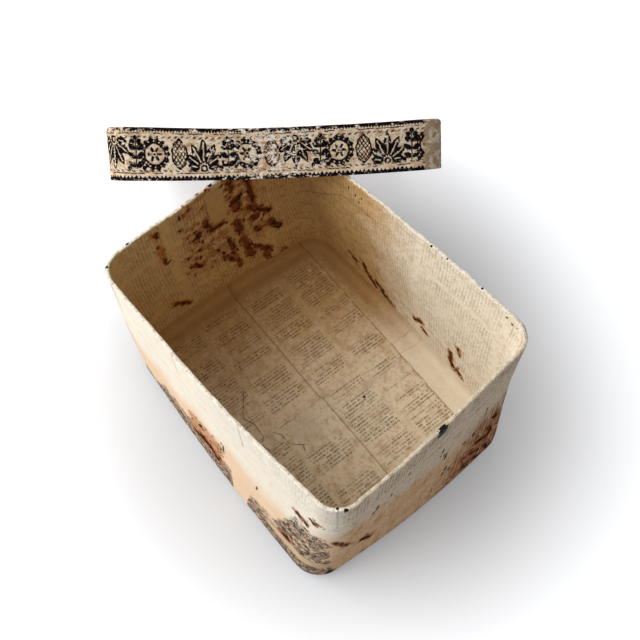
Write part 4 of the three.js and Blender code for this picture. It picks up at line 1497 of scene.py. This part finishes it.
def add_camera():
    azimuth, elevation, roll = (
        math.radians(CAMERA[key]) for key in ("azimuth", "elevation", "roll")
    )
    back = Vector((
        math.sin(azimuth) * math.cos(elevation),
        -math.cos(azimuth) * math.cos(elevation),
        math.sin(elevation),
    ))
    right = Vector((math.cos(azimuth), math.sin(azimuth), 0))
    up = back.cross(right)
    turned_right = right * math.cos(roll) + up * math.sin(roll)
    turned_up = up * math.cos(roll) - right * math.sin(roll)
    data = bpy.data.cameras.new("camera")
    data.lens = CAMERA["lens"]
    data.sensor_width = 36.0
    data.clip_start = 0.05
    camera = new_object("camera", data)
    place = (Vector(CAMERA["target"]) + back * CAMERA["distance"]) * MM
    turn = Matrix((turned_right, turned_up, back)).transposed().to_4x4()
    camera.matrix_world = Matrix.Translation(place) @ turn
    bpy.context.scene.camera = camera


def straight_rays(tree):
    """1 for the rays that show a thing itself, and 0 for those that only bring its light."""
    path = add_node(tree, "LightPath", {})
    kinds = ("Is Camera Ray", "Is Glossy Ray", "Is Transmission Ray")
    return most(Value(tree, path.outputs[name]) for name in kinds)


def add_light():
    """One very large soft lamp, like a window at the left, and an even white surround."""
    data = bpy.data.lights.new("key", "AREA")
    data.shape = "SQUARE"
    data.size = 2.4
    data.energy = 60.0
    lamp = new_object("key", data)
    lamp.location = TOWARDS_LAMP * 2.3
    lamp.rotation_euler = TOWARDS_LAMP.to_track_quat("Z", "Y").to_euler()
    world = bpy.data.worlds.new("surround")
    world.use_nodes = True
    bpy.context.scene.world = world
    tree = world.node_tree
    sky = tree.nodes["Background"]
    sky.inputs["Color"].default_value = (1, 1, 1, 1)
    sky.inputs["Strength"].default_value = 0.38
    seen = add_node(tree, "Background", {"Color": (0.96, 0.97, 1, 1), "Strength": 1.0})
    shaders = (Value(tree, node.outputs[0]) for node in (sky, seen))
    pick = add_node(tree, "MixShader", dict(enumerate((straight_rays(tree), *shaders))))
    tree.links.new(pick.outputs[0], tree.nodes["World Output"].inputs["Surface"])


def add_floor():
    """A pale floor, which glows a little for the camera, and more so away from the basket."""
    mesh = bpy.data.meshes.new("studio_floor")
    corners = [(x * FLOOR_HALF, y * FLOOR_HALF, 0) for x, y in ((-1, -1), (1, -1), (1, 1), (-1, 1))]
    mesh.from_pydata(corners, [], [(0, 1, 2, 3)])
    floor = new_object("studio_floor", mesh)
    floor.location.z = -0.0002
    material = bpy.data.materials.new("studio_floor")
    material.use_nodes = True
    tree = material.node_tree
    shader = tree.nodes["Principled BSDF"]
    shader.inputs["Base Color"].default_value = (0.60, 0.605, 0.615, 1)
    shader.inputs["Roughness"].default_value = 0.9
    shader.inputs["Specular IOR Level"].default_value = 0.1
    shader.inputs["Emission Color"].default_value = (0.97, 0.98, 1.0, 1)
    place = add_node(tree, "TexCoord", {})
    split = add_node(tree, "SeparateXYZ", {0: Value(tree, place.outputs["Object"])})
    x, y = (Value(tree, socket) for socket in split.outputs[:2])
    # The glow grows with the distance from the basket: painted light on the far floor and painted
    # shade round the basket, seen in reflections too.
    away = length_of(x + 0.01, y - 0.02)
    glow = straight_rays(tree) * (away.step(0.19, 0.44) * 0.52 + 0.19)
    tree.links.new(glow.socket, shader.inputs["Emission Strength"])
    mesh.materials.append(material)


add_camera()
add_light()
add_floor()
build_basket()
build_lid()
bpy.context.scene.view_settings.view_transform = "Standard"
